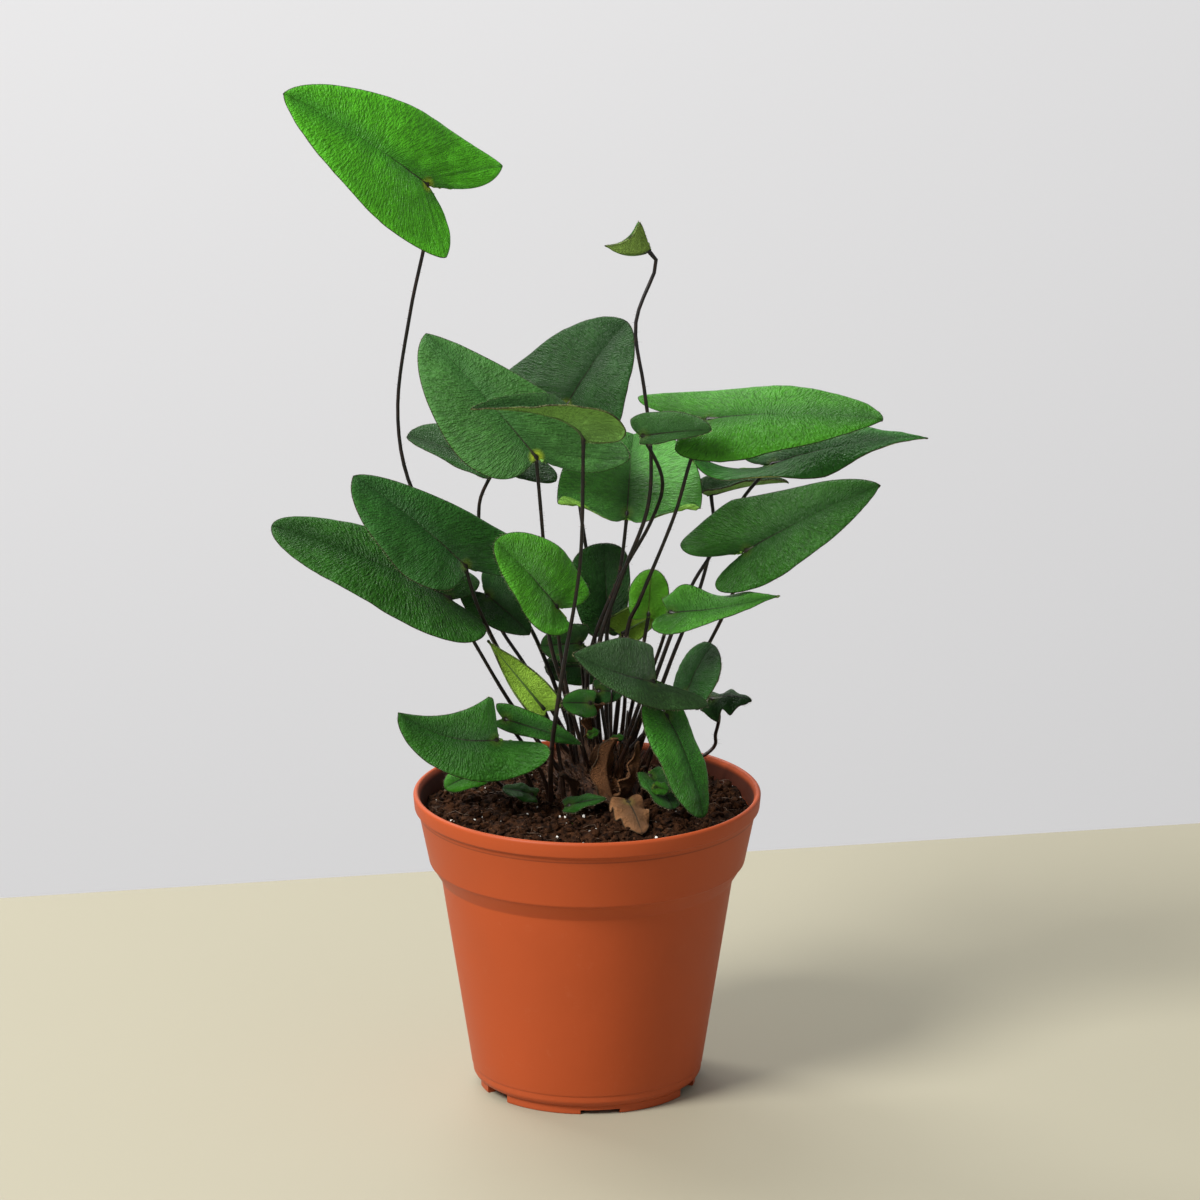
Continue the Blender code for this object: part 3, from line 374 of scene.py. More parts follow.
# Shapes that many small pieces share.
def hairTemplate():
    # A three-sided spike from the origin to 1 up, with radius 1 at its foot.
    bm = bmesh.new()
    bmesh.ops.create_cone(bm, cap_ends=True, segments=3, radius1=1.0, radius2=0.0, depth=1.0)
    bmesh.ops.translate(bm, verts=bm.verts, vec=(0.0, 0.0, 0.5))
    bmesh.ops.remove_doubles(bm, verts=bm.verts, dist=1e-4)
    bmesh.ops.recalc_face_normals(bm, faces=bm.faces)
    return finishedMesh(bm, "hair_shape")


def lumpTemplate(seed, detail=1):
    bm = bmesh.new()
    bmesh.ops.create_icosphere(bm, subdivisions=detail, radius=1.0)
    for vert in bm.verts:
        vert.co *= 0.78 + 0.55 * noise.noise(vert.co * 1.3 + Vector((seed * 5.1, 0, seed)))
    return finishedMesh(bm, "lump_shape", smooth=False)


def spikeMatrix(spot, direction, length, radius):
    turn = upwards.rotation_difference(direction).to_matrix().to_4x4()
    return Matrix.Translation(spot) @ turn @ Matrix.Diagonal((radius, radius, length, 1.0))


def lumpMatrix(spot, size, rng):
    turn = Matrix.Rotation(rng.uniform(0, 6.28), 4, Vector((rng.gauss(0, 1), rng.gauss(0, 1), rng.gauss(0, 1))))
    stretch = (size * rng.uniform(0.7, 1.2), size * rng.uniform(0.7, 1.2), size * rng.uniform(0.5, 0.9), 1.0)
    return Matrix.Translation(spot) @ turn @ Matrix.Diagonal(stretch)


def copies(bm, template, places):
    # Adds the template to the bmesh once for each place.
    base = np.empty(len(template.vertices) * 3)
    template.vertices.foreach_get("co", base)
    base = base.reshape(-1, 3)
    for place in places:
        matrix = np.array(place)
        moved = base @ matrix[:3, :3].T + matrix[:3, 3]
        template.vertices.foreach_set("co", moved.ravel())
        bm.from_mesh(template)
    template.vertices.foreach_set("co", base.ravel())


curveSteps = 16  # straight pieces between two points of a route


def smoothPath(points, count):
    # Places at even steps along a smooth curve through the route's own points.
    ends = [points[0] * 2 - points[1]] + points + [points[-1] * 2 - points[-2]]
    fine = []
    for a, b, c, d in zip(ends, ends[1:], ends[2:], ends[3:]):
        for step in range(curveSteps):
            t = step / curveSteps
            fine.append(((b * 2) + (c - a) * t + (a * 2 - b * 5 + c * 4 - d) * t ** 2
                         + (b * 3 - a - c * 3 + d) * t ** 3) / 2)
    fine.append(points[-1])
    lengths = [0.0]
    for first, second in zip(fine, fine[1:]):
        lengths.append(lengths[-1] + (second - first).length)
    found = []
    index = 0
    for step in range(count):
        wanted = lengths[-1] * step / (count - 1)
        while index < len(fine) - 2 and lengths[index + 1] < wanted:
            index += 1
        part = (wanted - lengths[index]) / (lengths[index + 1] - lengths[index])
        found.append(fine[index].lerp(fine[index + 1], part))
    return found


def ringFrames(points):
    # A turning frame at each point of a route, carried along it without twist.
    frames = []
    heading = (points[1] - points[0]).normalized()
    basis = upwards.rotation_difference(heading).to_matrix()
    for index, point in enumerate(points):
        ahead = points[min(index + 1, len(points) - 1)] - points[max(index - 1, 0)]
        basis = heading.rotation_difference(ahead.normalized()).to_matrix() @ basis
        heading = ahead.normalized()
        frames.append((point, basis.copy()))
    return frames


def ringEdges(ring):
    members = set(ring)
    return list({edge for vert in ring for edge in vert.link_edges if edge.other_vert(vert) in members})


def sweep(bm, points, radii, sides, runs=None, layer=None):
    # A closed round bar along the points, extruded ring by ring.
    frames = [Matrix.Translation(spot) @ basis.to_4x4() for spot, basis in ringFrames(points)]
    ring = bmesh.ops.create_circle(bm, cap_ends=True, segments=sides, radius=radii[0], matrix=frames[0])["verts"]
    if layer is not None:
        for vert in ring:
            vert[layer] = runs[0]
    for index in range(1, len(frames)):
        made = bmesh.ops.extrude_edge_only(bm, edges=ringEdges(ring))["geom"]
        ring = [item for item in made if isinstance(item, bmesh.types.BMVert)]
        grown = frames[index] @ Matrix.Scale(radii[index] / radii[index - 1], 4)
        bmesh.ops.transform(bm, matrix=grown @ frames[index - 1].inverted(), verts=ring)
        if layer is not None:
            for vert in ring:
                vert[layer] = runs[index]
    bmesh.ops.contextual_create(bm, geom=ringEdges(ring))


# The fronds, with lengths in millimetres. Pairs are left and right as seen from above, looking along the blade from
# its joint to its tip, and one number stands for both. Angles are degrees; arch, bow, sweep, belly and spread are
# parts of a length; full and blunt say how far the edge swells before the tip; a wave is its height, how many there
# are along the edge, and where it starts.
calm = ((0, 1, 0), (0, 1, 0))
frondDefaults = dict(
    root=(), path=(), half=14, lobe=10, spread=0.7, belly=0.1, blunt=0.6, full=1, roll=0, twist=0, fold=8, cup=-20,
    droop=-20, arch=0.1, bow=0.5, sweep=0.0, wave=((0.6, 2, 0), (0.6, 2, 75)), colour="leaf_green", fused=False,
)
fronds = dict(
    tall_left=dict(root=(-6, 18), joint=(-47.5, 28, 273), tip=(-89.7, 12, 304.5),
        path=((-22, 17, 122), (-41, 20, 159), (-53.5, 22, 182), (-57, 26, 205), (-53, 29, 234),
            (-48, 30.5, 258)), half=(19.5, 20.5), lobe=(15, 21.5), spread=(0.85, 0.92), belly=(0.06, -0.1),
        blunt=0.7, roll=-64, colour="leaf_young"),
    tall_young=dict(root=(4, 9), joint=(18, 4, 259), tip=(5.8, 2, 261),
        path=((3, 7, 132), (10, 3, 157), (18, -1, 180), (19, -4, 200), (17, -2, 218), (14.5, 1, 237),
            (20.5, 4.5, 253.5)), half=(10.8, 9), lobe=1, belly=-0.05, full=0.3, blunt=0.2, fold=(72, 84),
        cup=-6, droop=0, arch=-0.3, wave=calm, colour="leaf_young"),
    upper_left=dict(root=(-3, 5), joint=(-15, -3, 197), tip=(-48, 10, 232),
        path=((-6, 6, 118), (-11.5, 4, 140), (-13, 3, 168)), half=(18, 23), lobe=(1, 19), spread=(0.3, 0.85),
        belly=(0.3, -0.25), full=(1, 0), blunt=(0.9, 0.25), roll=-52, cup=(-20, -25), droop=(0, -40),
        colour="leaf_grey"),
    rear_top=dict(root=(2, 24), joint=(-6.5, 38, 202), tip=(12, 46, 226.5), path=((2, 34, 138), (-2, 40, 168)),
        half=(27, 19), lobe=(9, 2), spread=0.8, belly=(-0.15, 0.15), full=(0.1, 0.5), blunt=(0.8, 0.8), roll=30,
        colour="leaf_dark"),
    rear_left=dict(root=(-3, 21), joint=(-28, 17, 188), tip=(-54.5, 28, 195.5),
        path=((-15, 22, 132), (-30, 21, 160), (-32.5, 18, 176)), half=(5, 12), lobe=(1, 19), spread=(0.5, 0.35),
        blunt=1, roll=-35, droop=(0, -20), colour="leaf_dark"),
    mid_left=dict(root=(-5, 12), joint=(-36, -9, 165), tip=(-69, -16, 195),
        path=((-20, 9, 118), (-27, 3, 136), (-33, -4.4, 152)), half=(15.5, 19), lobe=(1, 18),
        spread=(0.3, 0.75), belly=(0.35, -0.25), full=(1, 0), blunt=(1, 0.45), roll=-60, droop=(0, -20),
        colour="leaf_dark"),
    low_left=dict(root=(-8, 6), joint=(-41, 0, 152.5), tip=(-94, -7, 177),
        path=((-22.5, 5, 117), (-33, 3, 136)), half=(15.5, 13), lobe=(13.5, 8), spread=(0.4, 0.7),
        blunt=(1.3, 1), roll=-42),
    inner_left=dict(root=(-4, 15), joint=(-30, 15, 149), tip=(-17, 12, 137.5),
        path=((-17, 15, 124), (-26, 16, 138)), half=8, lobe=6, roll=50, colour="leaf_dark"),
    centre_bright=dict(root=(0, 3), joint=(-9, -4, 151), tip=(-27.2, -10, 173.2),
        path=((-5, 2, 118), (-8, 0, 136)), half=(10, 14.5), lobe=(8.5, 7), spread=(0.05, 0.7), belly=(0.1, 0.2),
        blunt=(1, 0.9), roll=-65, colour="leaf_young"),
    rear_centre=dict(root=(6, 22), joint=(6, 22, 136), tip=(5, 27, 162), path=((7, 23, 118),), half=(10.5, 7.8),
        lobe=2, spread=0.3, belly=(0.7, 0.75), blunt=1.3, colour="leaf_dark"),
    rear_round=dict(root=(11, 18), joint=(18.5, 10, 144.5), tip=(19.7, 14, 157.5), path=((15, 13, 122),),
        half=(6.8, 6.2), lobe=2, spread=0.6, belly=0.35, blunt=1.2, colour="leaf_young"),
    right_curled=dict(root=(10, 6), joint=(25, -10, 151), tip=(57, -14, 157.5),
        path=((16, 3, 119), (22, -3, 138)), half=(7.5, 8), lobe=(2, 6), belly=(0.1, -0.05), full=(1, 0),
        blunt=(0.3, 0.1), roll=40, arch=-0.1, wave=((4, 1.6, -31), (0.6, 2, 75)), colour="leaf_young"),
    right_heart=dict(root=(12, 10), joint=(47.5, -6, 169), tip=(87, -12, 191),
        path=((28, 9, 120), (38, 6, 139), (44, -1, 155)), half=(16, 12.5), lobe=(19, 13), spread=(0.7, 0.5),
        belly=(0.05, 0.15), full=(0, 1), blunt=(0.6, 0.6), roll=58, wave=((2.2, 1.6, -76), (0.6, 2, 75))),
    top_right=dict(root=(8, 12), joint=(36, -1, 208.5), tip=(88, -8, 210),
        path=((12, 8, 139), (16, 4, 151), (26, -1, 178), (31, -2, 196)), half=(15, 14.5), lobe=(22, 9),
        blunt=(1, 0.6), roll=35, fold=(-4, 10), cup=(-20, -65), colour="leaf_young"),
    far_right=dict(root=(13, 14), joint=(55.5, 14, 190.5), tip=(102, 6, 201),
        path=((23, 11, 131), (31, 11, 152), (38, 11, 164), (47, 13, 180)), half=(10, 9.5), lobe=(10, 26),
        spread=(0.7, 0.2), blunt=0.2, roll=25, droop=(-20, -75), wave=((2, 3, 97), (4.5, 1.55, -67)),
        colour="leaf_dark"),
    front_top=dict(root=(-11, -4), joint=(-1, -24, 208), tip=(-34, -34, 220.5),
        path=((-10.5, -10.5, 109), (-7, -14, 135), (-2, -19, 169)), half=(13, 8.5), lobe=(3, 1),
        spread=(0.7, 0.3), belly=(0, 0.35), full=(0, 0.6), blunt=(0.2, 0.6), roll=70, twist=-60, fold=(8, 90),
        arch=0.1, bow=0.15, sweep=-0.22, colour="leaf_grey"),
    front_small=dict(root=(1, 13), joint=(16.5, -12, 206), tip=(36.8, -18, 209.5),
        path=((0.5, 12, 129), (9, 7, 155), (19, 3, 175), (22.5, -4, 190)), half=(7.2, 3), lobe=(4, 1),
        spread=0.7, blunt=1, roll=60, colour="leaf_grey", fused=True),
    centre_top=dict(root=(6, 15), joint=(12, 10, 176), tip=(14, 28, 196), path=((6, 14, 137), (10, 11, 158)),
        half=(22.5, 24.5), lobe=9.5, spread=0.6, belly=0.12, blunt=1, fold=(27, 22), cup=-5, droop=-95,
        colour="leaf_green"),
    rear_right=dict(root=(15, 18), joint=(37.3, 21, 179.3), tip=(61, 28, 181),
        path=((25, 16, 127), (34, 18, 150), (38, 19, 168)), half=(7, 6), lobe=4, spread=0.7, roll=20,
        fold=(20, 60), colour="leaf_grey"),
    front_low=dict(root=(8, 0), joint=(20, -20, 132.5), tip=(-4, -30, 144), path=((13, -9, 111),),
        half=(8.5, 12.5), lobe=(19, 1), spread=(0.75, 0.8), belly=(-0.15, 0.25), roll=-58, sweep=-0.13,
        colour="leaf_grey"),
    low_right=dict(root=(16, 6), joint=(29.5, -1, 122.5), tip=(37.8, 2, 137.5), path=((21, 3, 108),),
        half=(9.5, 11.5), lobe=2, belly=0.45, blunt=1.3, roll=10, wave=calm, colour="leaf_dark"),
    pot_left=dict(root=(-15, -1.5), joint=(-27, -18, 113.5), tip=(-56, -24, 124), path=((-20, -6, 102),),
        half=(12.5, 13.5), lobe=(16, 1), spread=(0.5, 0.9), belly=(0.1, 0.02), full=(1, -0.3), blunt=(0.9, 0.2),
        roll=-58, droop=(-50, 0), arch=-0.06, sweep=-0.18),
    rear_turned=dict(root=(10, 22), joint=(10.5, 18, 136.5), tip=(24.5, 19, 143.5), path=((11.5, 20, 116),),
        half=(5, 7), lobe=3, roll=-80, colour="leaf_young", fused=True),
    hanging_front=dict(root=(15.5, 1), joint=(24, -14, 120), tip=(35, -24, 91), path=((20, -7, 108),),
        half=(7.5, 11.5), lobe=5, belly=(0.1, 0.35), full=1, blunt=1.2, arch=0.12, fused=True),
    soil_right=dict(root=(15, -7), joint=(19, -13, 101), tip=(26, -20, 92.5), half=(7.5, 5.5), lobe=2,
        belly=0.4, blunt=1.3, fused=True),
    shrivelled=dict(root=(20.5, 16), joint=(37.8, 16, 116.5), tip=(50, 12, 117),
        path=((37.2, 20, 98), (39, 19, 104), (40, 17, 110.5)), half=(5, 6), lobe=3, fold=(10, -50), arch=0.15,
        wave=((1, 2.5, 0), (1.8, 2.5, 75)), colour="leaf_dark", fused=True),
    rim_left=dict(root=(-23, 3), joint=(-31, 0, 99), tip=(-43, -3, 93.5), half=(5, 6), lobe=3, blunt=1.2,
        roll=-40, colour="leaf_young", fused=True),
    low_turned=dict(root=(-7, 1), joint=(-13, -1, 118), tip=(-30, -2, 140), path=((-9, 1, 106),), half=(6, 4.5),
        lobe=3, blunt=0.1, roll=100, colour="leaf_young", fused=True),
    low_folded=dict(root=(-11.5, 2.5), joint=(-24.5, -5, 116), tip=(-1.5, -6.5, 108.5), path=((-15, 0, 100),),
        half=(5, 3.5), lobe=(4, 3), roll=60, colour="leaf_green", fused=True),
    inner_centre=dict(root=(0, 19), joint=(-2, 13, 134.5), tip=(-14, 10, 134.5), path=((-1, 16, 120),), half=6,
        lobe=3, blunt=1.2, roll=-75, colour="leaf_grey", fused=True),
    rear_low=dict(root=(-1, 26), joint=(0, 24, 124), tip=(-13, 26, 123), path=((-1, 26, 110),), half=6, lobe=3,
        blunt=1.2, roll=-70, colour="leaf_dark", fused=True),
    inner_low=dict(root=(5, 4), joint=(1, -1.5, 120), tip=(-7.5, -3, 120.5), path=((3, 1, 108),), half=4.5,
        lobe=2, blunt=1.2, roll=-60, colour="leaf_green", fused=True),
    soil_left=dict(root=(-18, -6), joint=(-16.5, -8, 93.3), tip=(-25.5, -8, 95.3), half=3.5, lobe=2, blunt=1.2,
        roll=-30, fused=True),
    soil_front=dict(root=(-6.5, -10), joint=(-5.5, -13, 91.5), tip=(6, -14, 94), half=(3.5, 3), lobe=2, roll=30,
        fused=True),
    inner_dark=dict(root=(7.5, 3), joint=(3.5, 3, 122.5), tip=(11, 1.5, 122.5), path=((5.5, 3, 110),), half=4,
        lobe=2, blunt=1.2, roll=60, colour="leaf_dark", fused=True),
)
bladeSettings = dict(
    thickness=0.0005, rows=96, columns=13, notch=0.001, lobeEnd=0.27, widest=0.52, sway=0.00026, quilt=0.0001,
    wrinkle=0.00016, groove=0.00035, grooveWidth=0.0007, rolled=0.0004, rolledWidth=0.0012, marginHairs=170,
)
stemSettings = dict(
    foot=0.00088, top=0.00056, samples=44, ribSamples=14, sides=9, rootDepth=0.005, ribReach=0.86, ribEnd=0.00012,
    hairs=120,
)
crownPlace = dict(x=0.004, y=0.012, radius=0.015, top=0.101, soil=0.088)


lengthKeys = ("root", "path", "joint", "tip", "half", "lobe")
pairKeys = ("half", "lobe", "spread", "belly", "blunt", "full", "fold", "cup", "droop")


def metres(value):
    # Millimetres as metres, also in nested tuples.
    return tuple(metres(part) for part in value) if isinstance(value, tuple) else value / 1000


def prepared(name, entry, index):
    frond = {**frondDefaults, **entry}
    for key in pairKeys:
        frond[key] = frond[key] if isinstance(frond[key], tuple) else (frond[key], frond[key])
    for key in lengthKeys:
        frond[key] = metres(frond[key])
    frond["wave"] = tuple((metres(height), count, phase) for height, count, phase in frond["wave"])
    joint = Vector(frond["joint"])
    tip = Vector(frond["tip"])
    side = (tip - joint).cross(upwards).normalized()
    over = side.cross((tip - joint).normalized())
    roll = math.radians(frond["roll"])
    right = side * math.cos(roll) - over * math.sin(roll)
    up = over * math.cos(roll) + side * math.sin(roll)
    length = (tip - joint).length
    bend = joint + (tip - joint) * frond["bow"] + up * (frond["arch"] * length) + right * (frond["sweep"] * length)
    frond.update(name=name, joint=joint, tip=tip, up=up, bend=bend, length=length, seed=index * 7.31)
    return frond


def cubic(points, t):
    a, b, c, d = points
    s = 1 - t
    return a * s ** 3 + b * (3 * s * s * t) + c * (3 * s * t * t) + d * t ** 3


def halfOutline(frond, side, t):
    # Half of the heart's edge: from the notch round the lobe to the widest place and on to the tip.
    length = frond["length"]
    lobe = frond["lobe"][side]
    width = frond["half"][side]
    spread = width * frond["spread"][side]
    broad = length * frond["belly"][side]
    full = frond["full"][side]
    blunt = frond["blunt"][side]
    back = Vector((-lobe, spread))
    widest = Vector((broad, width))
    lobeEnd, widestAt = bladeSettings["lobeEnd"], bladeSettings["widest"]
    if t < lobeEnd:
        start = Vector((-bladeSettings["notch"], 0.0))
        bay = Vector((-lobe * 0.3, spread * 0.15))
        return cubic((start, bay, Vector((-lobe, spread * 0.4)), back), t / lobeEnd)
    if t < widestAt:
        out = Vector((-lobe, spread * 0.3 + width * 0.7))
        past = Vector((broad * 0.6 - lobe * 0.4, width))
        return cubic((back, out, past, widest), (t - lobeEnd) / (widestAt - lobeEnd))
    belly = Vector((broad + (length - broad) * 0.42, width * (2 + full) / 3))
    shoulder = Vector((length * min(0.8 + 0.2 * blunt, 1.0), width * (0.12 + 0.46 * blunt)))
    return cubic((widest, belly, shoulder, Vector((length, 0.0))), (t - widestAt) / (1 - widestAt))


def ribFrame(frond, u):
    # Place on the midrib at a part u of its length, with the directions along, right and up there.
    joint, bend, tip = frond["joint"], frond["bend"], frond["tip"]
    u = max(u, 0.0)
    spot = joint * (1 - u) ** 2 + bend * (2 * u * (1 - u)) + tip * (u * u)
    along = ((bend - joint) * (2 * (1 - u)) + (tip - bend) * (2 * u)).normalized()
    up = frond["up"]
    up = (up - along * up.dot(along)).normalized()
    up = Matrix.Rotation(math.radians(frond["twist"]) * u, 3, along) @ up
    return spot, along, along.cross(up), up


def bladePoint(frond, p, q, extra=0.0):
    # The flat place p along the midrib and q to its right, bent as the frond says.
    side = 0 if q < 0 else 1
    width = frond["half"][side]
    lobe = frond["lobe"][side]
    spot, along, right, up = ribFrame(frond, p / frond["length"])
    if p < 0:
        droop = math.radians(frond["droop"][side]) or 1e-6
        reach = max(lobe, bladeSettings["notch"])
        turn = droop * (-p / reach)
        spot = spot - along * (reach / droop * math.sin(turn)) - up * (reach / droop * (1 - math.cos(turn)))
        up = up * math.cos(turn) - along * math.sin(turn)
    out = abs(q) / width
    fold = math.radians(frond["fold"][side])
    cup = math.radians(frond["cup"][side]) or 1e-6
    across = width / cup * (math.sin(fold + cup * out) - math.sin(fold))
    lift = width / cup * (math.cos(fold) - math.cos(fold + cup * out))
    height, count, phase = frond["wave"][side]
    run = (p + lobe) / (frond["length"] + lobe)
    lift += height * out * out * math.sin(2 * math.pi * count * run + math.radians(phase))
    return spot + right * (across if q >= 0 else -across) + up * (lift + extra)


def leafRelief(frond, p, q, rim, t, r):
    # What the hand feels on the blade: soft quilting, a sunk midrib and an edge that turns down.
    settings = bladeSettings
    seed = frond["seed"]
    lift = settings["sway"] * noise.noise(Vector((p * 210, q * 210, seed)))
    lift += settings["quilt"] * noise.noise(Vector((p * 620, q * 620, seed + 3)))
    lift += settings["wrinkle"] * min(1.0, r * 2.5) * noise.noise(Vector((t * 30, r * 2.5, seed + 7)))
    fade = 1 - 0.75 * max(0.0, min(1.0, p / frond["length"]))
    lift -= settings["groove"] * fade * math.exp(-(q / settings["grooveWidth"]) ** 2)
    lift -= settings["rolled"] * max(0.0, 1 - rim / settings["rolledWidth"]) ** 2
    return lift


def makeLeaf(frond, name, finish, nodes):
    settings = bladeSettings
    bm = bmesh.new()
    bmesh.ops.create_grid(bm, x_segments=2 * settings["columns"], y_segments=settings["rows"], size=1.0)
    veins = bm.verts.layers.float_vector.new("veins")
    spots = bm.verts.layers.float_vector.new("spots")
    tones = bm.verts.layers.float_vector.new("tones")
    glow = bm.verts.layers.float.new("glow")
    tone = leafTones.get(frond["name"], 1.0)
    tone = tone if isinstance(tone, tuple) else (tone, 0.0, 0.0)
    for vert in bm.verts:
        side = 0 if vert.co.x < 0 else 1
        r = 0.5 - 0.5 * math.cos(math.pi * abs(vert.co.x))
        t = 0.012 + 0.988 * (vert.co.y + 1) / 2
        edge = halfOutline(frond, side, t)
        p = (-settings["notch"] + (frond["length"] + settings["notch"]) * t ** 2.2) * (1 - r) + edge.x * r
        q = edge.y * r
        rim = math.hypot(edge.x - p, edge.y - q)
        vert[veins] = (t, r if side else -r, frond["seed"])
        vert[spots] = (p * 1000, q * 1000, rim * 1000)
        vert[tones] = tone
        vert[glow] = yellowJoints.get(frond["name"], 0.1)
        q = q if side else -q
        vert.co = bladePoint(frond, p, q, leafRelief(frond, p, q, rim, t, r))
    bmesh.ops.remove_doubles(bm, verts=bm.verts, dist=1e-6)
    leaf = linkObject(name, finishedMesh(bm, name))
    for part in ("upper", "under", "edge"):
        leaf.data.materials.append(leafMaterials[finish][part])
    solidify = leaf.modifiers.new("thickness", "SOLIDIFY")
    solidify.thickness = settings["thickness"]
    solidify.offset = -1.0
    solidify.material_offset = 1
    solidify.material_offset_rim = 2
    return standFor(leaf, frond["colour"], *nodes)


# Leaf finishes, one for each colour of frond: upper face, underside, the painted shade along the midrib crease and
# the gloss.
leafFinishes = dict(
    # Each underside colour is the paler real underside, brightened further as painted light for the glow of light
    # shining through the blade.
    leaf_green=dict(upper=(0.024, 0.14, 0.006), under=(0.18, 0.4, 0.04), rib=(0.01, 0.06, 0.006), rough=0.46),
    leaf_young=dict(upper=(0.055, 0.3, 0.006), under=(0.3, 0.52, 0.05), rib=(0.022, 0.13, 0.008), rough=0.44),
    leaf_dark=dict(upper=(0.014, 0.08, 0.008), under=(0.105, 0.215, 0.045), rib=(0.008, 0.042, 0.007), rough=0.48),
    leaf_grey=dict(upper=(0.03, 0.112, 0.017), under=(0.22, 0.48, 0.085), rib=(0.018, 0.075, 0.013), rough=0.5),
    dry_leaf=dict(upper=(0.2, 0.085, 0.03), under=(0.15, 0.062, 0.022), rib=(0.08, 0.032, 0.012), rough=0.75),
)
# How much lighter, how much more lime and how much greyer than its finish a frond is, or only how much lighter.
leafTones = dict(
    tall_left=1.45, tall_young=(1.0, 0.0, 0.2), centre_bright=(1.15, 0.03, 0.03), top_right=0.72,
    right_curled=(0.8, 0.0, 0.08), low_turned=(1.0, 0.15, 0.0), rear_round=(1.0, 0.15, 0.0), right_heart=0.7,
    rim_left=0.85, rear_turned=(0.8, 0.25, 0.0), front_low=(0.75, 0.0, 0.06), rear_top=0.78,
    low_left=0.75, mid_left=1.55, far_right=2.7, centre_top=(2.0, 0.0, 0.1),
    upper_left=1.45, hanging_front=1.35, sprout_middle=0.55, sprout_right=0.5,
    sprout_front=0.75, dry_leaf=(1.5, 0.0, 0.04),
    rear_left=(1.0, 0.0, 0.05), curl_front=1.2, curl_left=0.55, curl_right=1.0,
    curl_top=1.0, curl_side=0.8, curl_low=0.6,
)
yellowJoints = dict(upper_left=0.85, tall_left=0.8, rear_top=0.35, mid_left=0.2)


def leafMaterial(name, finish, face):
    material, shader = newMaterial(name + "_" + face, specular=0.26)
    place = objectPlace(material)
    veins = attribute(material, "veins")
    spots = attribute(material, "spots")
    tones = attribute(material, "tones")
    along, across, rim = addNode(material, "SeparateXYZ", {0: spots}).outputs
    light, lime, grey = addNode(material, "SeparateXYZ", {0: tones}).outputs
    cloud = addNode(material, "TexNoise", {"Vector": place, "Scale": 240.0, "Detail": 2.0}).outputs["Color"]
    drift = vectorCalc(material, "MULTIPLY", cloud, (0.016, 0.0, 0.0))
    swept = vectorCalc(material, "ADD", veins, drift)
    stretched = vectorCalc(material, "MULTIPLY", swept, (150.0, 8.0, 1.0))
    streaks = grain(material, stretched, 1.0, 2.0, 0.5)
    mottle = grain(material, place, 150.0, 4.0, 0.6)
    patches = grain(material, place, 34.0, 2.0)
    pores = grain(material, place, 1500.0, 2.0)
    # The underside colour holds painted light: beyond its own paler tone it is brightened for light shining through
    # the blade.
    base = tuple(part * 0.92 for part in finish["under" if face == "under" else "upper"])
    lighter = tuple(min(1.0, part * 1.3 + 0.005) for part in base)
    darker = tuple(part * 0.62 for part in base)
    colour = mixed(material, between(material, streaks, 0.36, 0.6), darker, base)
    colour = mixed(material, between(material, mottle, 0.48, 0.74, 0.0, 0.75), colour, lighter)
    colour = mixed(material, between(material, patches, 0.42, 0.66, 0.0, 0.5), colour, darker)
    if face == "upper":
        # Painted shade: the upper face darkens towards the midrib, where the blade folds into a crease.
        ribbed = between(material, across, 6.0, 0.3, 0.0, 0.65)
        colour = mixed(material, ribbed, colour, finish["rib"])
        nearJoint = between(material, along, 24.0, 2.0, 0.15, 0.95)
        line = calc(material, "MULTIPLY", between(material, across, 0.34, 0.12), nearJoint)
        colour = mixed(material, line, colour, (0.012, 0.01, 0.005))
        reach = vectorCalc(material, "MULTIPLY", spots, (1.0, 1.0, 0.0))
        distance = vectorCalc(material, "LENGTH", reach)
        glow = attribute(material, "glow", "Fac")
        near = calc(material, "MULTIPLY", between(material, distance, 3.0, 0.7), glow)
        colour = mixed(material, near, colour, (0.3, 0.4, 0.015))
        colour = mixed(material, between(material, distance, 1.1, 0.5, 0.0, 0.9), colour, (0.02, 0.012, 0.005))
        colour = mixed(material, between(material, rim, 3.2, 0.5, 0.0, 0.35), colour, lighter)
    colour = mixed(material, lime, colour, (0.26, 0.6, 0.03), "MIX")
    colour = mixed(material, grey, colour, (0.16, 0.22, 0.14), "MIX")
    spotted = between(material, mottle, 0.2, 0.6, 0.5, 0.95)
    brown = calc(material, "MULTIPLY", between(material, rim, 0.32, 0.12), spotted)
    if face == "edge":
        brown = between(material, mottle, 0.4, 0.6, 0.15, 0.9)
        colour = mixed(material, 0.0 if name == "dry_leaf" else 0.5, colour, (0.3, 0.34, 0.1))
    colour = mixed(material, brown, colour, (0.022, 0.016, 0.008))
    toned = addNode(material, "VectorMath", {0: colour}, operation="SCALE")
    join(material, light, toned.inputs["Scale"])
    join(material, toned.outputs[0], shader.inputs["Base Color"])
    rough = finish["rough"] + (0.15 if face == "under" else 0.0)
    join(material, between(material, streaks, 0.3, 0.7, rough + 0.08, rough - 0.06), shader.inputs["Roughness"])
    relief = calc(material, "ADD", streaks, calc(material, "MULTIPLY", mottle, 0.8))
    relief = calc(material, "ADD", relief, calc(material, "MULTIPLY", pores, 0.45))
    bumped(material, shader, relief, 1.0, 0.00095)
    return material


leafMaterials = {name: {face: leafMaterial(name, finish, face) for face in ("upper", "under", "edge")}
                 for name, finish in leafFinishes.items()}
hairShape = hairTemplate()


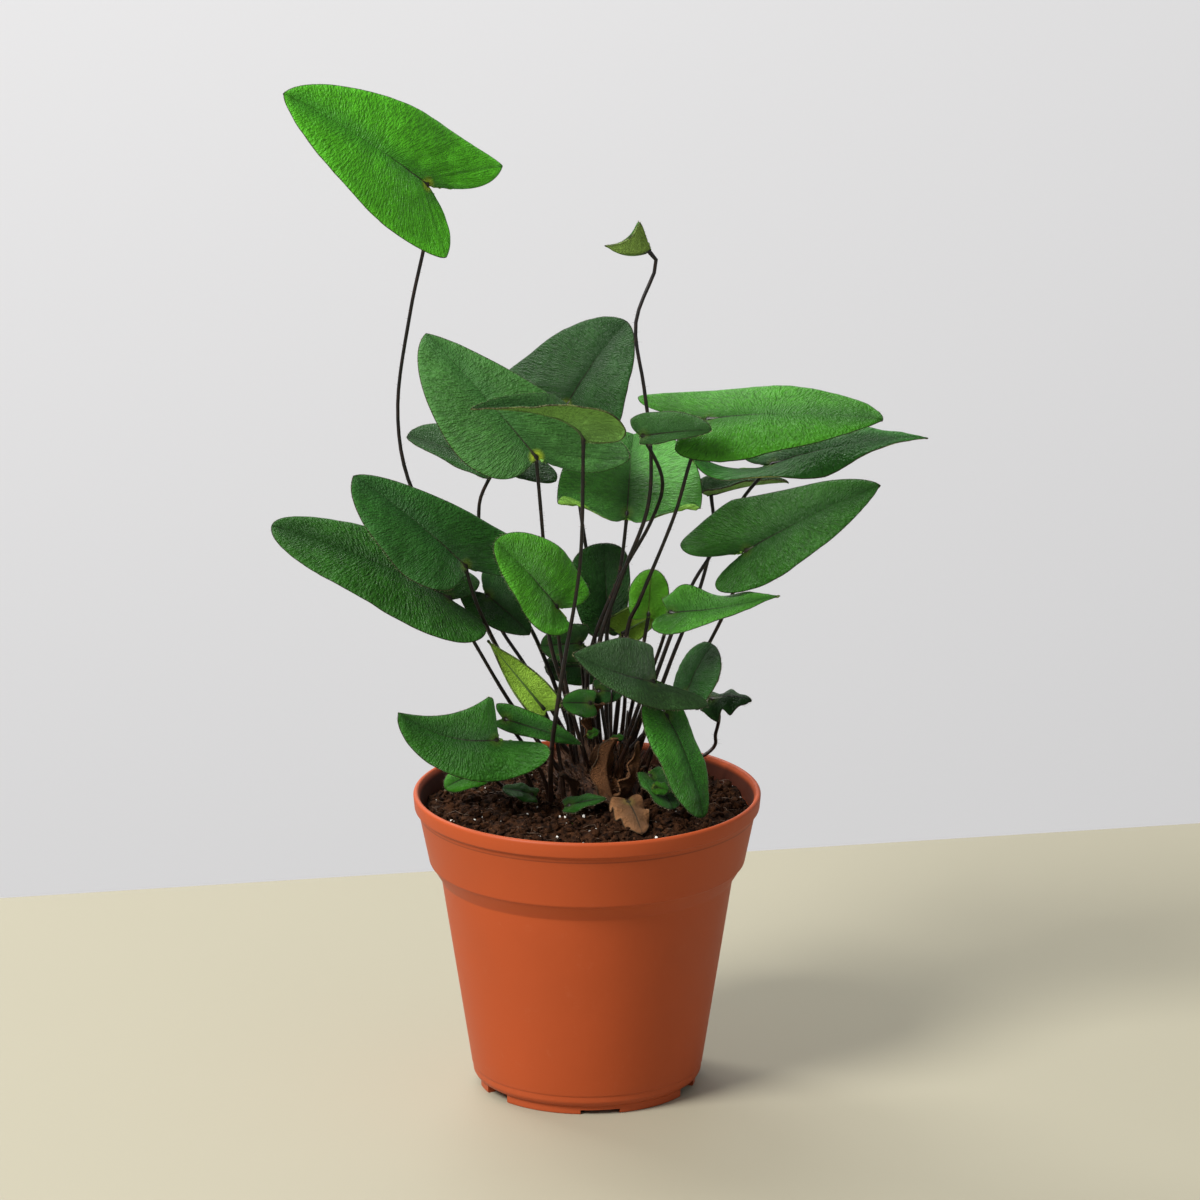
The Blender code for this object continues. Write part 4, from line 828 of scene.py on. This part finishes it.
def stemMaterial():
    material, shader = newMaterial("stipe_black", roughness=0.38, specular=0.35)
    place = objectPlace(material)
    fade = attribute(material, "fade", "Fac")
    height = addNode(material, "SeparateXYZ", {0: place}).outputs["Z"]
    patch = grain(material, place, 420.0, 4.0)
    colour = mixed(material, between(material, patch, 0.4, 0.75), (0.004, 0.003, 0.0025), (0.018, 0.008, 0.006))
    low = between(material, height, 0.115, 0.09, 0.0, 0.5)
    colour = mixed(material, calc(material, "MULTIPLY", low, patch), colour, (0.07, 0.028, 0.012))
    colour = mixed(material, fade, colour, (0.07, 0.14, 0.025))
    join(material, colour, shader.inputs["Base Color"])
    bumped(material, shader, patch, 0.5, 0.00012)
    return material


def hairMaterial(name, colour):
    material, shader = newMaterial(name, roughness=0.6)
    speckle = grain(material, objectPlace(material), 900.0, 2.0)
    darker = tuple(part * 0.5 for part in colour)
    join(material, mixed(material, speckle, darker, colour), shader.inputs["Base Color"])
    return material


stemBlack = stemMaterial()
rustHair = hairMaterial("rust_hair", (0.19, 0.085, 0.035))
paleHair = hairMaterial("pale_hair", (0.48, 0.44, 0.26))


def crownSurface(x, y):
    out = math.hypot(x - crownPlace["x"], y - crownPlace["y"]) / crownPlace["radius"]
    if out >= 0.96:
        return crownPlace["soil"]
    base = crownPlace["soil"] + 0.001
    return base + (crownPlace["top"] - base) * math.sqrt(1 - out * out)


def stemRoute(frond):
    x, y = frond["root"]
    surface = crownSurface(x, y)
    route = [Vector((x, y, surface - stemSettings["rootDepth"])), Vector((x, y, surface + 0.001))]
    route += [Vector(point) for point in frond["path"]]
    joint, _, _, up = ribFrame(frond, 0.0)
    return route + [joint - up * bladeSettings["thickness"]]


def makeStem(frond, nodes):
    settings = stemSettings
    bm = bmesh.new()
    fade = bm.verts.layers.float.new("fade")
    points = smoothPath(stemRoute(frond), settings["samples"])
    radii = []
    for index in range(len(points)):
        part = index / (len(points) - 1)
        thick = settings["foot"] + (settings["top"] - settings["foot"]) * min(1.0, part * 1.6) ** 0.7
        flare = 1 + 0.35 * max(0, part - 0.97) / 0.03
        radii.append(thick * (1 + 0.06 * noise.noise(points[index] * 700)) * flare)
    runs = [0.0] * len(points)
    for index in range(1, settings["ribSamples"] + 1):
        part = index / settings["ribSamples"]
        u = part * settings["ribReach"]
        spot, _, _, up = ribFrame(frond, u)
        points.append(spot - up * (bladeSettings["thickness"] + bladeSettings["groove"] * (1 - u)))
        radii.append(settings["top"] + (settings["ribEnd"] - settings["top"]) * part ** 0.6)
        runs.append(min(1.0, part * 2.5))
    sweep(bm, points, radii, settings["sides"], runs, fade)
    bmesh.ops.recalc_face_normals(bm, faces=bm.faces)
    name = frond["name"] + "_stem"
    makePiece(bm, name, stemBlack, "stipe_black", *nodes)
    return points[:settings["samples"]], radii


def makeHairs(frond, points, radii):
    # Rusty hairs round the stipe, thicker near its foot, and a pale fringe along the blade's edge.
    rng = random.Random(int(frond["seed"] * 100))
    places = []
    for _ in range(stemSettings["hairs"]):
        run = rng.random() ** 1.5
        index = min(int(run * (len(points) - 1)), len(points) - 2)
        spot = points[index].lerp(points[index + 1], rng.random())
        heading = (points[index + 1] - points[index]).normalized()
        away = heading.orthogonal().normalized()
        away = Matrix.Rotation(rng.uniform(0, 2 * math.pi), 3, heading) @ away
        direction = (away + heading * rng.uniform(-0.2, 0.7)).normalized()
        length = rng.uniform(0.0007, 0.0018) * (1.25 - 0.5 * run)
        spot = spot + away * radii[index] * 0.8
        places.append(spikeMatrix(spot, direction, length, rng.uniform(0.00003, 0.00005)))
    bm = bmesh.new()
    copies(bm, hairShape, places)
    name = frond["name"] + "_hairs"
    makePiece(bm, name, rustHair, "crown_fibre")
    places = []
    for _ in range(bladeSettings["marginHairs"]):
        side = rng.randrange(2)
        edge = halfOutline(frond, side, rng.uniform(0.02, 0.99))
        sign = 1 if side else -1
        outer = bladePoint(frond, edge.x, sign * edge.y)
        inner = bladePoint(frond, edge.x * 0.94, sign * edge.y * 0.94)
        up = ribFrame(frond, edge.x / frond["length"])[3]
        direction = ((outer - inner).normalized() - up * rng.uniform(-0.1, 0.9)).normalized()
        direction = (direction + Vector([rng.gauss(0, 0.3) for _ in range(3)])).normalized()
        places.append(spikeMatrix(outer - up * 0.0004, direction, rng.uniform(0.0004, 0.001), 0.000022))
    bm = bmesh.new()
    copies(bm, hairShape, places)
    name = frond["name"] + "_fringe"
    makePiece(bm, name, paleHair, frond["colour"])


for frondIndex, (frondName, frondEntry) in enumerate(fronds.items()):
    currentFrond = prepared(frondName, frondEntry, frondIndex)
    bladeNode = frondName + ("_frond" if currentFrond["fused"] else "_blade")
    stemNode = frondName + ("_frond" if currentFrond["fused"] else "_stipe")
    makeLeaf(currentFrond, frondName + "_leaf", currentFrond["colour"], [bladeNode])
    stemPoints, stemRadii = makeStem(currentFrond, [stemNode])
    makeHairs(currentFrond, stemPoints, stemRadii)
print("fronds done:", len(fronds))

dryLeaf = dict(joint=(12.5, -18, 94.5), tip=(16.5, -30, 88.2), half=(5.5, 6), lobe=3,
    wave=((1.9, 2.3, 40), (1.7, 3.1, 120)), fold=-8, blunt=1, colour="dry_leaf")
makeLeaf(prepared("dry_leaf", dryLeaf, 50), "dry_leaf_blade", "dry_leaf", ["dry_leaf"])

# Soil: a rough peat surface with loose crumbs, white perlite and short fibres.
soilSettings = dict(
    edgeZ=0.0859, middleZ=0.0882, clearance=0.0003, depth=0.012, rings=84, steps=230, clods=0.0017, crumbs=0.0013,
    grit=0.0004, lumps=3400, lumpSize=(0.0003, 0.0021), perlite=190, perliteSize=(0.0002, 0.0008), fibres=220,
    seed=11,
)


def soilRadius(z):
    return outerRadius(potSettings, z) - potSettings["wall"] - soilSettings["clearance"]


def soilHeight(x, y):
    settings = soilSettings
    spot = Vector((x, y, 0.37))
    out = min(1.0, math.hypot(x, y) / soilRadius(settings["edgeZ"]))
    height = settings["middleZ"] + (settings["edgeZ"] - settings["middleZ"]) * out * out
    height += settings["clods"] * noise.noise(spot * 130) + settings["crumbs"] * noise.noise(spot * 380)
    return height + settings["grit"] * noise.noise(spot * 1100)


def soilMaterial():
    material, shader = newMaterial("peat", roughness=0.93, specular=0.08)
    place = objectPlace(material)
    clumps = grain(material, place, 420.0, 6.0, 0.7)
    specks = grain(material, place, 1500.0, 3.0, 0.7)
    colour = mixed(material, between(material, clumps, 0.35, 0.7), (0.0045, 0.0017, 0.0008), (0.06, 0.024, 0.01))
    colour = mixed(material, between(material, specks, 0.62, 0.74, 0.0, 0.8), colour, (0.19, 0.09, 0.04))
    colour = mixed(material, between(material, specks, 0.42, 0.34, 0.0, 0.8), colour, (0.0025, 0.0014, 0.001))
    join(material, colour, shader.inputs["Base Color"])
    bumped(material, shader, clumps, 0.9, 0.0007)
    return material


def makeSoil(settings):
    peat = soilMaterial()
    radius = soilRadius(settings["edgeZ"])
    bm = bmesh.new()
    row = [bm.verts.new((radius * index / settings["rings"], 0.0, 0.0)) for index in range(settings["rings"] + 1)]
    edges = [bm.edges.new(pair) for pair in zip(row, row[1:])]
    bmesh.ops.spin(bm, geom=row + edges, cent=(0, 0, 0), axis=(0, 0, 1), angle=2 * math.pi,
                   steps=settings["steps"], use_merge=True, use_duplicate=False)
    bmesh.ops.remove_doubles(bm, verts=bm.verts, dist=1e-6)
    for vert in bm.verts:
        vert.co.z = soilHeight(vert.co.x, vert.co.y)
    border = [edge for edge in bm.edges if edge.is_boundary]
    low = bmesh.ops.extrude_edge_only(bm, edges=border)["geom"]
    ring = [item for item in low if isinstance(item, bmesh.types.BMVert)]
    bottom = settings["edgeZ"] - settings["depth"]
    shrink = soilRadius(bottom) / radius
    for vert in ring:
        vert.co = Vector((vert.co.x * shrink, vert.co.y * shrink, bottom))
    bmesh.ops.contextual_create(bm, geom=[edge for edge in bm.edges if edge.is_boundary])
    bmesh.ops.recalc_face_normals(bm, faces=bm.faces)
    makePiece(bm, "soil_surface", peat, "peat", "soil")
    rng = random.Random(settings["seed"])
    shapes = [lumpTemplate(seed) for seed in range(5)]
    bm = bmesh.new()
    for shape in shapes:
        count = settings["lumps"] // len(shapes)
        copies(bm, shape, [soilLump(rng, radius, settings["lumpSize"]) for _ in range(count)])
    makePiece(bm, "soil_crumbs", peat, "peat", smooth=False)
    white = plainMaterial("perlite", (0.75, 0.73, 0.68), 0.85, 900.0, 0.0003, 0.15)
    bm = bmesh.new()
    grains = [soilLump(rng, radius, settings["perliteSize"]) for _ in range(settings["perlite"])]
    copies(bm, lumpTemplate(9, 2), grains)
    makePiece(bm, "soil_perlite", white, "peat", smooth=False)
    straw = hairMaterial("peat_fibre", (0.11, 0.06, 0.03))
    bm = bmesh.new()
    for _ in range(settings["fibres"]):
        spot = soilSpot(rng, radius * 0.96, 0.0004)
        heading = rng.uniform(0, 2 * math.pi)
        length = rng.uniform(0.002, 0.006)
        route = []
        for part in (0.0, 0.35, 0.7, 1.0):
            angle = heading + part * rng.uniform(-0.9, 0.9)
            step = Vector((math.cos(angle), math.sin(angle), 0.0)) * length * part
            route.append(spot + step + upwards * 0.0006 * math.sin(part * 3.0))
        sweep(bm, route, [0.00008, 0.0001, 0.00008, 0.00004], 4)
    bmesh.ops.recalc_face_normals(bm, faces=bm.faces)
    makePiece(bm, "soil_fibres", straw, "peat")


def soilSpot(rng, radius, lift):
    out = radius * math.sqrt(rng.random())
    angle = rng.uniform(0, 2 * math.pi)
    x = out * math.cos(angle)
    y = out * math.sin(angle)
    return Vector((x, y, soilHeight(x, y) + lift))


def soilLump(rng, radius, sizes):
    size = sizes[0] + (sizes[1] - sizes[0]) * rng.random() ** 2.2
    return lumpMatrix(soilSpot(rng, radius - size, size * 0.25), size, rng)


makeSoil(soilSettings)
print("soil done")

# The crown: a hairy dome of old stem bases, with dead stubs and withered, curled fronds.
crownSettings = dict(stubs=30, scales=1900, seed=23, stubRadius=(0.0004, 0.0011), stubLength=(0.003, 0.009))
dead = dict(half=3, lobe=2, fold=50, arch=0.35, blunt=1, colour="dry_leaf")
witheredFronds = dict(
    withered_left=dict(dead, joint=(3, 1, 90), tip=(4, -3, 108)),
    withered_right=dict(dead, joint=(7, 3, 91), tip=(10, 0, 107), half=(3, 2), fold=(60, 40), arch=-0.3),
    curl_front=dict(dead, joint=(7, -5, 91.5), tip=(8.8, -7, 111), half=(4.8, 4.6), fold=(30, 60),
        wave=((1.4, 3, 20), (1.2, 2.5, 90))),
    curl_right=dict(dead, joint=(10, -1.5, 90), tip=(15.2, -4.5, 109), half=(3.4, 4.6), fold=(70, 35),
        arch=-0.25, wave=((1.2, 2.6, 60), (1.5, 3.2, 10))),
    curl_left=dict(dead, joint=(-4, 0, 89.2), tip=(-8.5, -5, 98.5), half=(2.6, 3.4), fold=(60, 50),
        wave=((1, 2.2, 60), (1.4, 2.7, 10))),
    curl_side=dict(dead, joint=(12.5, -1.5, 90), tip=(17.5, -5, 101.5), half=(3, 2.4), fold=(45, 65), arch=0.2,
        wave=((1.3, 2.9, 120), (1, 2, 30))),
    curl_top=dict(dead, joint=(2, 1.5, 110.5), tip=(5.4, 0.3, 119.5), half=(4.6, 4.2), fold=(50, 45),
        wave=((0.9, 2, 30), (1, 2.5, 70))),
    curl_low=dict(dead, joint=(3, -6, 89), tip=(8.5, -11.5, 90.5), half=(3, 2.6), fold=(30, 20), arch=0.45,
        wave=((1, 2.6, 50), (1.1, 3, 10))),
)
# Stalks that have lost their blades, in millimetres: foot in the crown, a place on the way, and the broken top.
bareStalks = (
    ((6.5, 2), (7.2, 1, 108), (7.4, 0.5, 123.5)),
    ((10, 4), (11.2, 2, 104), (12.2, 2, 116.5)),
    ((-2.5, 6), (-5, 4, 104), (-6.3, 3, 115.5)),
    ((1.5, 3.5), (-0.8, 0.5, 103), (-2.2, 0, 115)),
    ((2, 4), (2, 3, 102), (2, 1.6, 110.8)),
)
# Tiny new leaves, in millimetres: joint, tip and half width.
sprouts = dict(
    sprout_middle=((0.8, -4, 111), (3.6, -4.6, 112.2), 1.7),
    sprout_right=((8, -3, 109.5), (11.2, -3.6, 110.2), 1.3),
    sprout_front=((20.5, -19, 99), (24.5, -20.5, 98.5), 2.3),
    sprout_moss=((-6.2, -21.5, 87.8), (-3.6, -22.2, 88.4), 1.4),
)


def crownMaterial():
    material, shader = newMaterial("crown_fibre", roughness=0.85)
    place = objectPlace(material)
    strands = vectorCalc(material, "MULTIPLY", place, (900.0, 900.0, 160.0))
    fibre = grain(material, strands, 1.0, 4.0, 0.65)
    colour = mixed(material, between(material, fibre, 0.35, 0.68), (0.007, 0.003, 0.002), (0.105, 0.042, 0.018))
    join(material, colour, shader.inputs["Base Color"])
    bumped(material, shader, fibre, 0.8, 0.0005)
    return material


goldenAngle = math.radians(137.5)


def makeCrown(settings):
    rng = random.Random(settings["seed"])
    fibre = crownMaterial()
    centre = Vector((crownPlace["x"], crownPlace["y"], crownPlace["soil"] + 0.001))
    bm = bmesh.new()
    bmesh.ops.create_icosphere(bm, subdivisions=5, radius=1.0)
    tall = crownPlace["top"] - centre.z
    for vert in bm.verts:
        lump = 1 + 0.1 * noise.noise(vert.co * 3.1) + 0.06 * noise.noise(vert.co * 9.0)
        scale = Vector((crownPlace["radius"] * 0.95, crownPlace["radius"] * 0.95, tall if vert.co.z > 0 else 0.005))
        vert.co = centre + vert.co * scale * lump
    makePiece(bm, "crown_dome", fibre, "crown_fibre", "crown")
    bm = bmesh.new()
    for index in range(settings["stubs"]):
        out = 0.2 + 0.75 * math.sqrt((index + 0.5) / settings["stubs"])
        angle = index * goldenAngle
        x = centre.x + crownPlace["radius"] * out * math.cos(angle)
        y = centre.y + crownPlace["radius"] * out * math.sin(angle)
        lean = Vector((math.cos(angle) * out * 0.6, math.sin(angle) * out * 0.6, 1.0)).normalized()
        length = rng.uniform(*settings["stubLength"])
        start = Vector((x, y, crownSurface(x, y) - 0.003))
        side = Vector((rng.gauss(0, 1), rng.gauss(0, 1), 0)) * length * 0.06
        route = smoothPath([start, start + lean * length * 0.5 + side, start + lean * length], 7)
        thick = rng.uniform(*settings["stubRadius"])
        sweep(bm, route, [thick * (1.0 - 0.35 * part / 6) for part in range(7)], 7)
    bmesh.ops.recalc_face_normals(bm, faces=bm.faces)
    makePiece(bm, "crown_stubs", fibre, "crown_fibre")
    places = []
    for _ in range(settings["scales"]):
        out = math.sqrt(rng.random()) * 1.02
        angle = rng.uniform(0, 2 * math.pi)
        x = centre.x + crownPlace["radius"] * out * math.cos(angle)
        y = centre.y + crownPlace["radius"] * out * math.sin(angle)
        away = Vector((math.cos(angle) * out, math.sin(angle) * out, 0.9))
        direction = (away + Vector([rng.gauss(0, 0.45) for _ in range(3)])).normalized()
        spot = Vector((x, y, crownSurface(x, y) - 0.0008))
        places.append(spikeMatrix(spot, direction, rng.uniform(0.002, 0.006), rng.uniform(0.00006, 0.00016)))
    bm = bmesh.new()
    copies(bm, hairShape, places)
    makePiece(bm, "crown_hairs", rustHair, "crown_fibre")


makeCrown(crownSettings)
for witheredIndex, (witheredName, witheredEntry) in enumerate(witheredFronds.items()):
    makeLeaf(prepared(witheredName, witheredEntry, 60 + witheredIndex), witheredName + "_leaf", "dry_leaf", [])
stalkMesh = bmesh.new()
stalkSamples, stalkRadius, stalkTaper = 16, 0.00055, 0.00025
for foot, middle, top in metres(bareStalks):
    start = Vector((*foot, crownSurface(*foot) - 0.003))
    stalkRoute = smoothPath([start, Vector(middle), Vector(top)], stalkSamples)
    stalkRadii = [stalkRadius - stalkTaper * index / (stalkSamples - 1) for index in range(stalkSamples)]
    sweep(stalkMesh, stalkRoute, stalkRadii, 8)
bmesh.ops.recalc_face_normals(stalkMesh, faces=stalkMesh.faces)
makePiece(stalkMesh, "bare_stalks", stemBlack, "stipe_black")
for sproutIndex, (sproutName, (sproutJoint, sproutTip, sproutHalf)) in enumerate(sprouts.items()):
    sproutEntry = dict(joint=sproutJoint, tip=sproutTip, half=sproutHalf, lobe=0.8, roll=45, belly=0.4, blunt=1.3,
                       colour="leaf_young")
    makeLeaf(prepared(sproutName, sproutEntry, 80 + sproutIndex), sproutName, "leaf_young", [])
print("crown done")
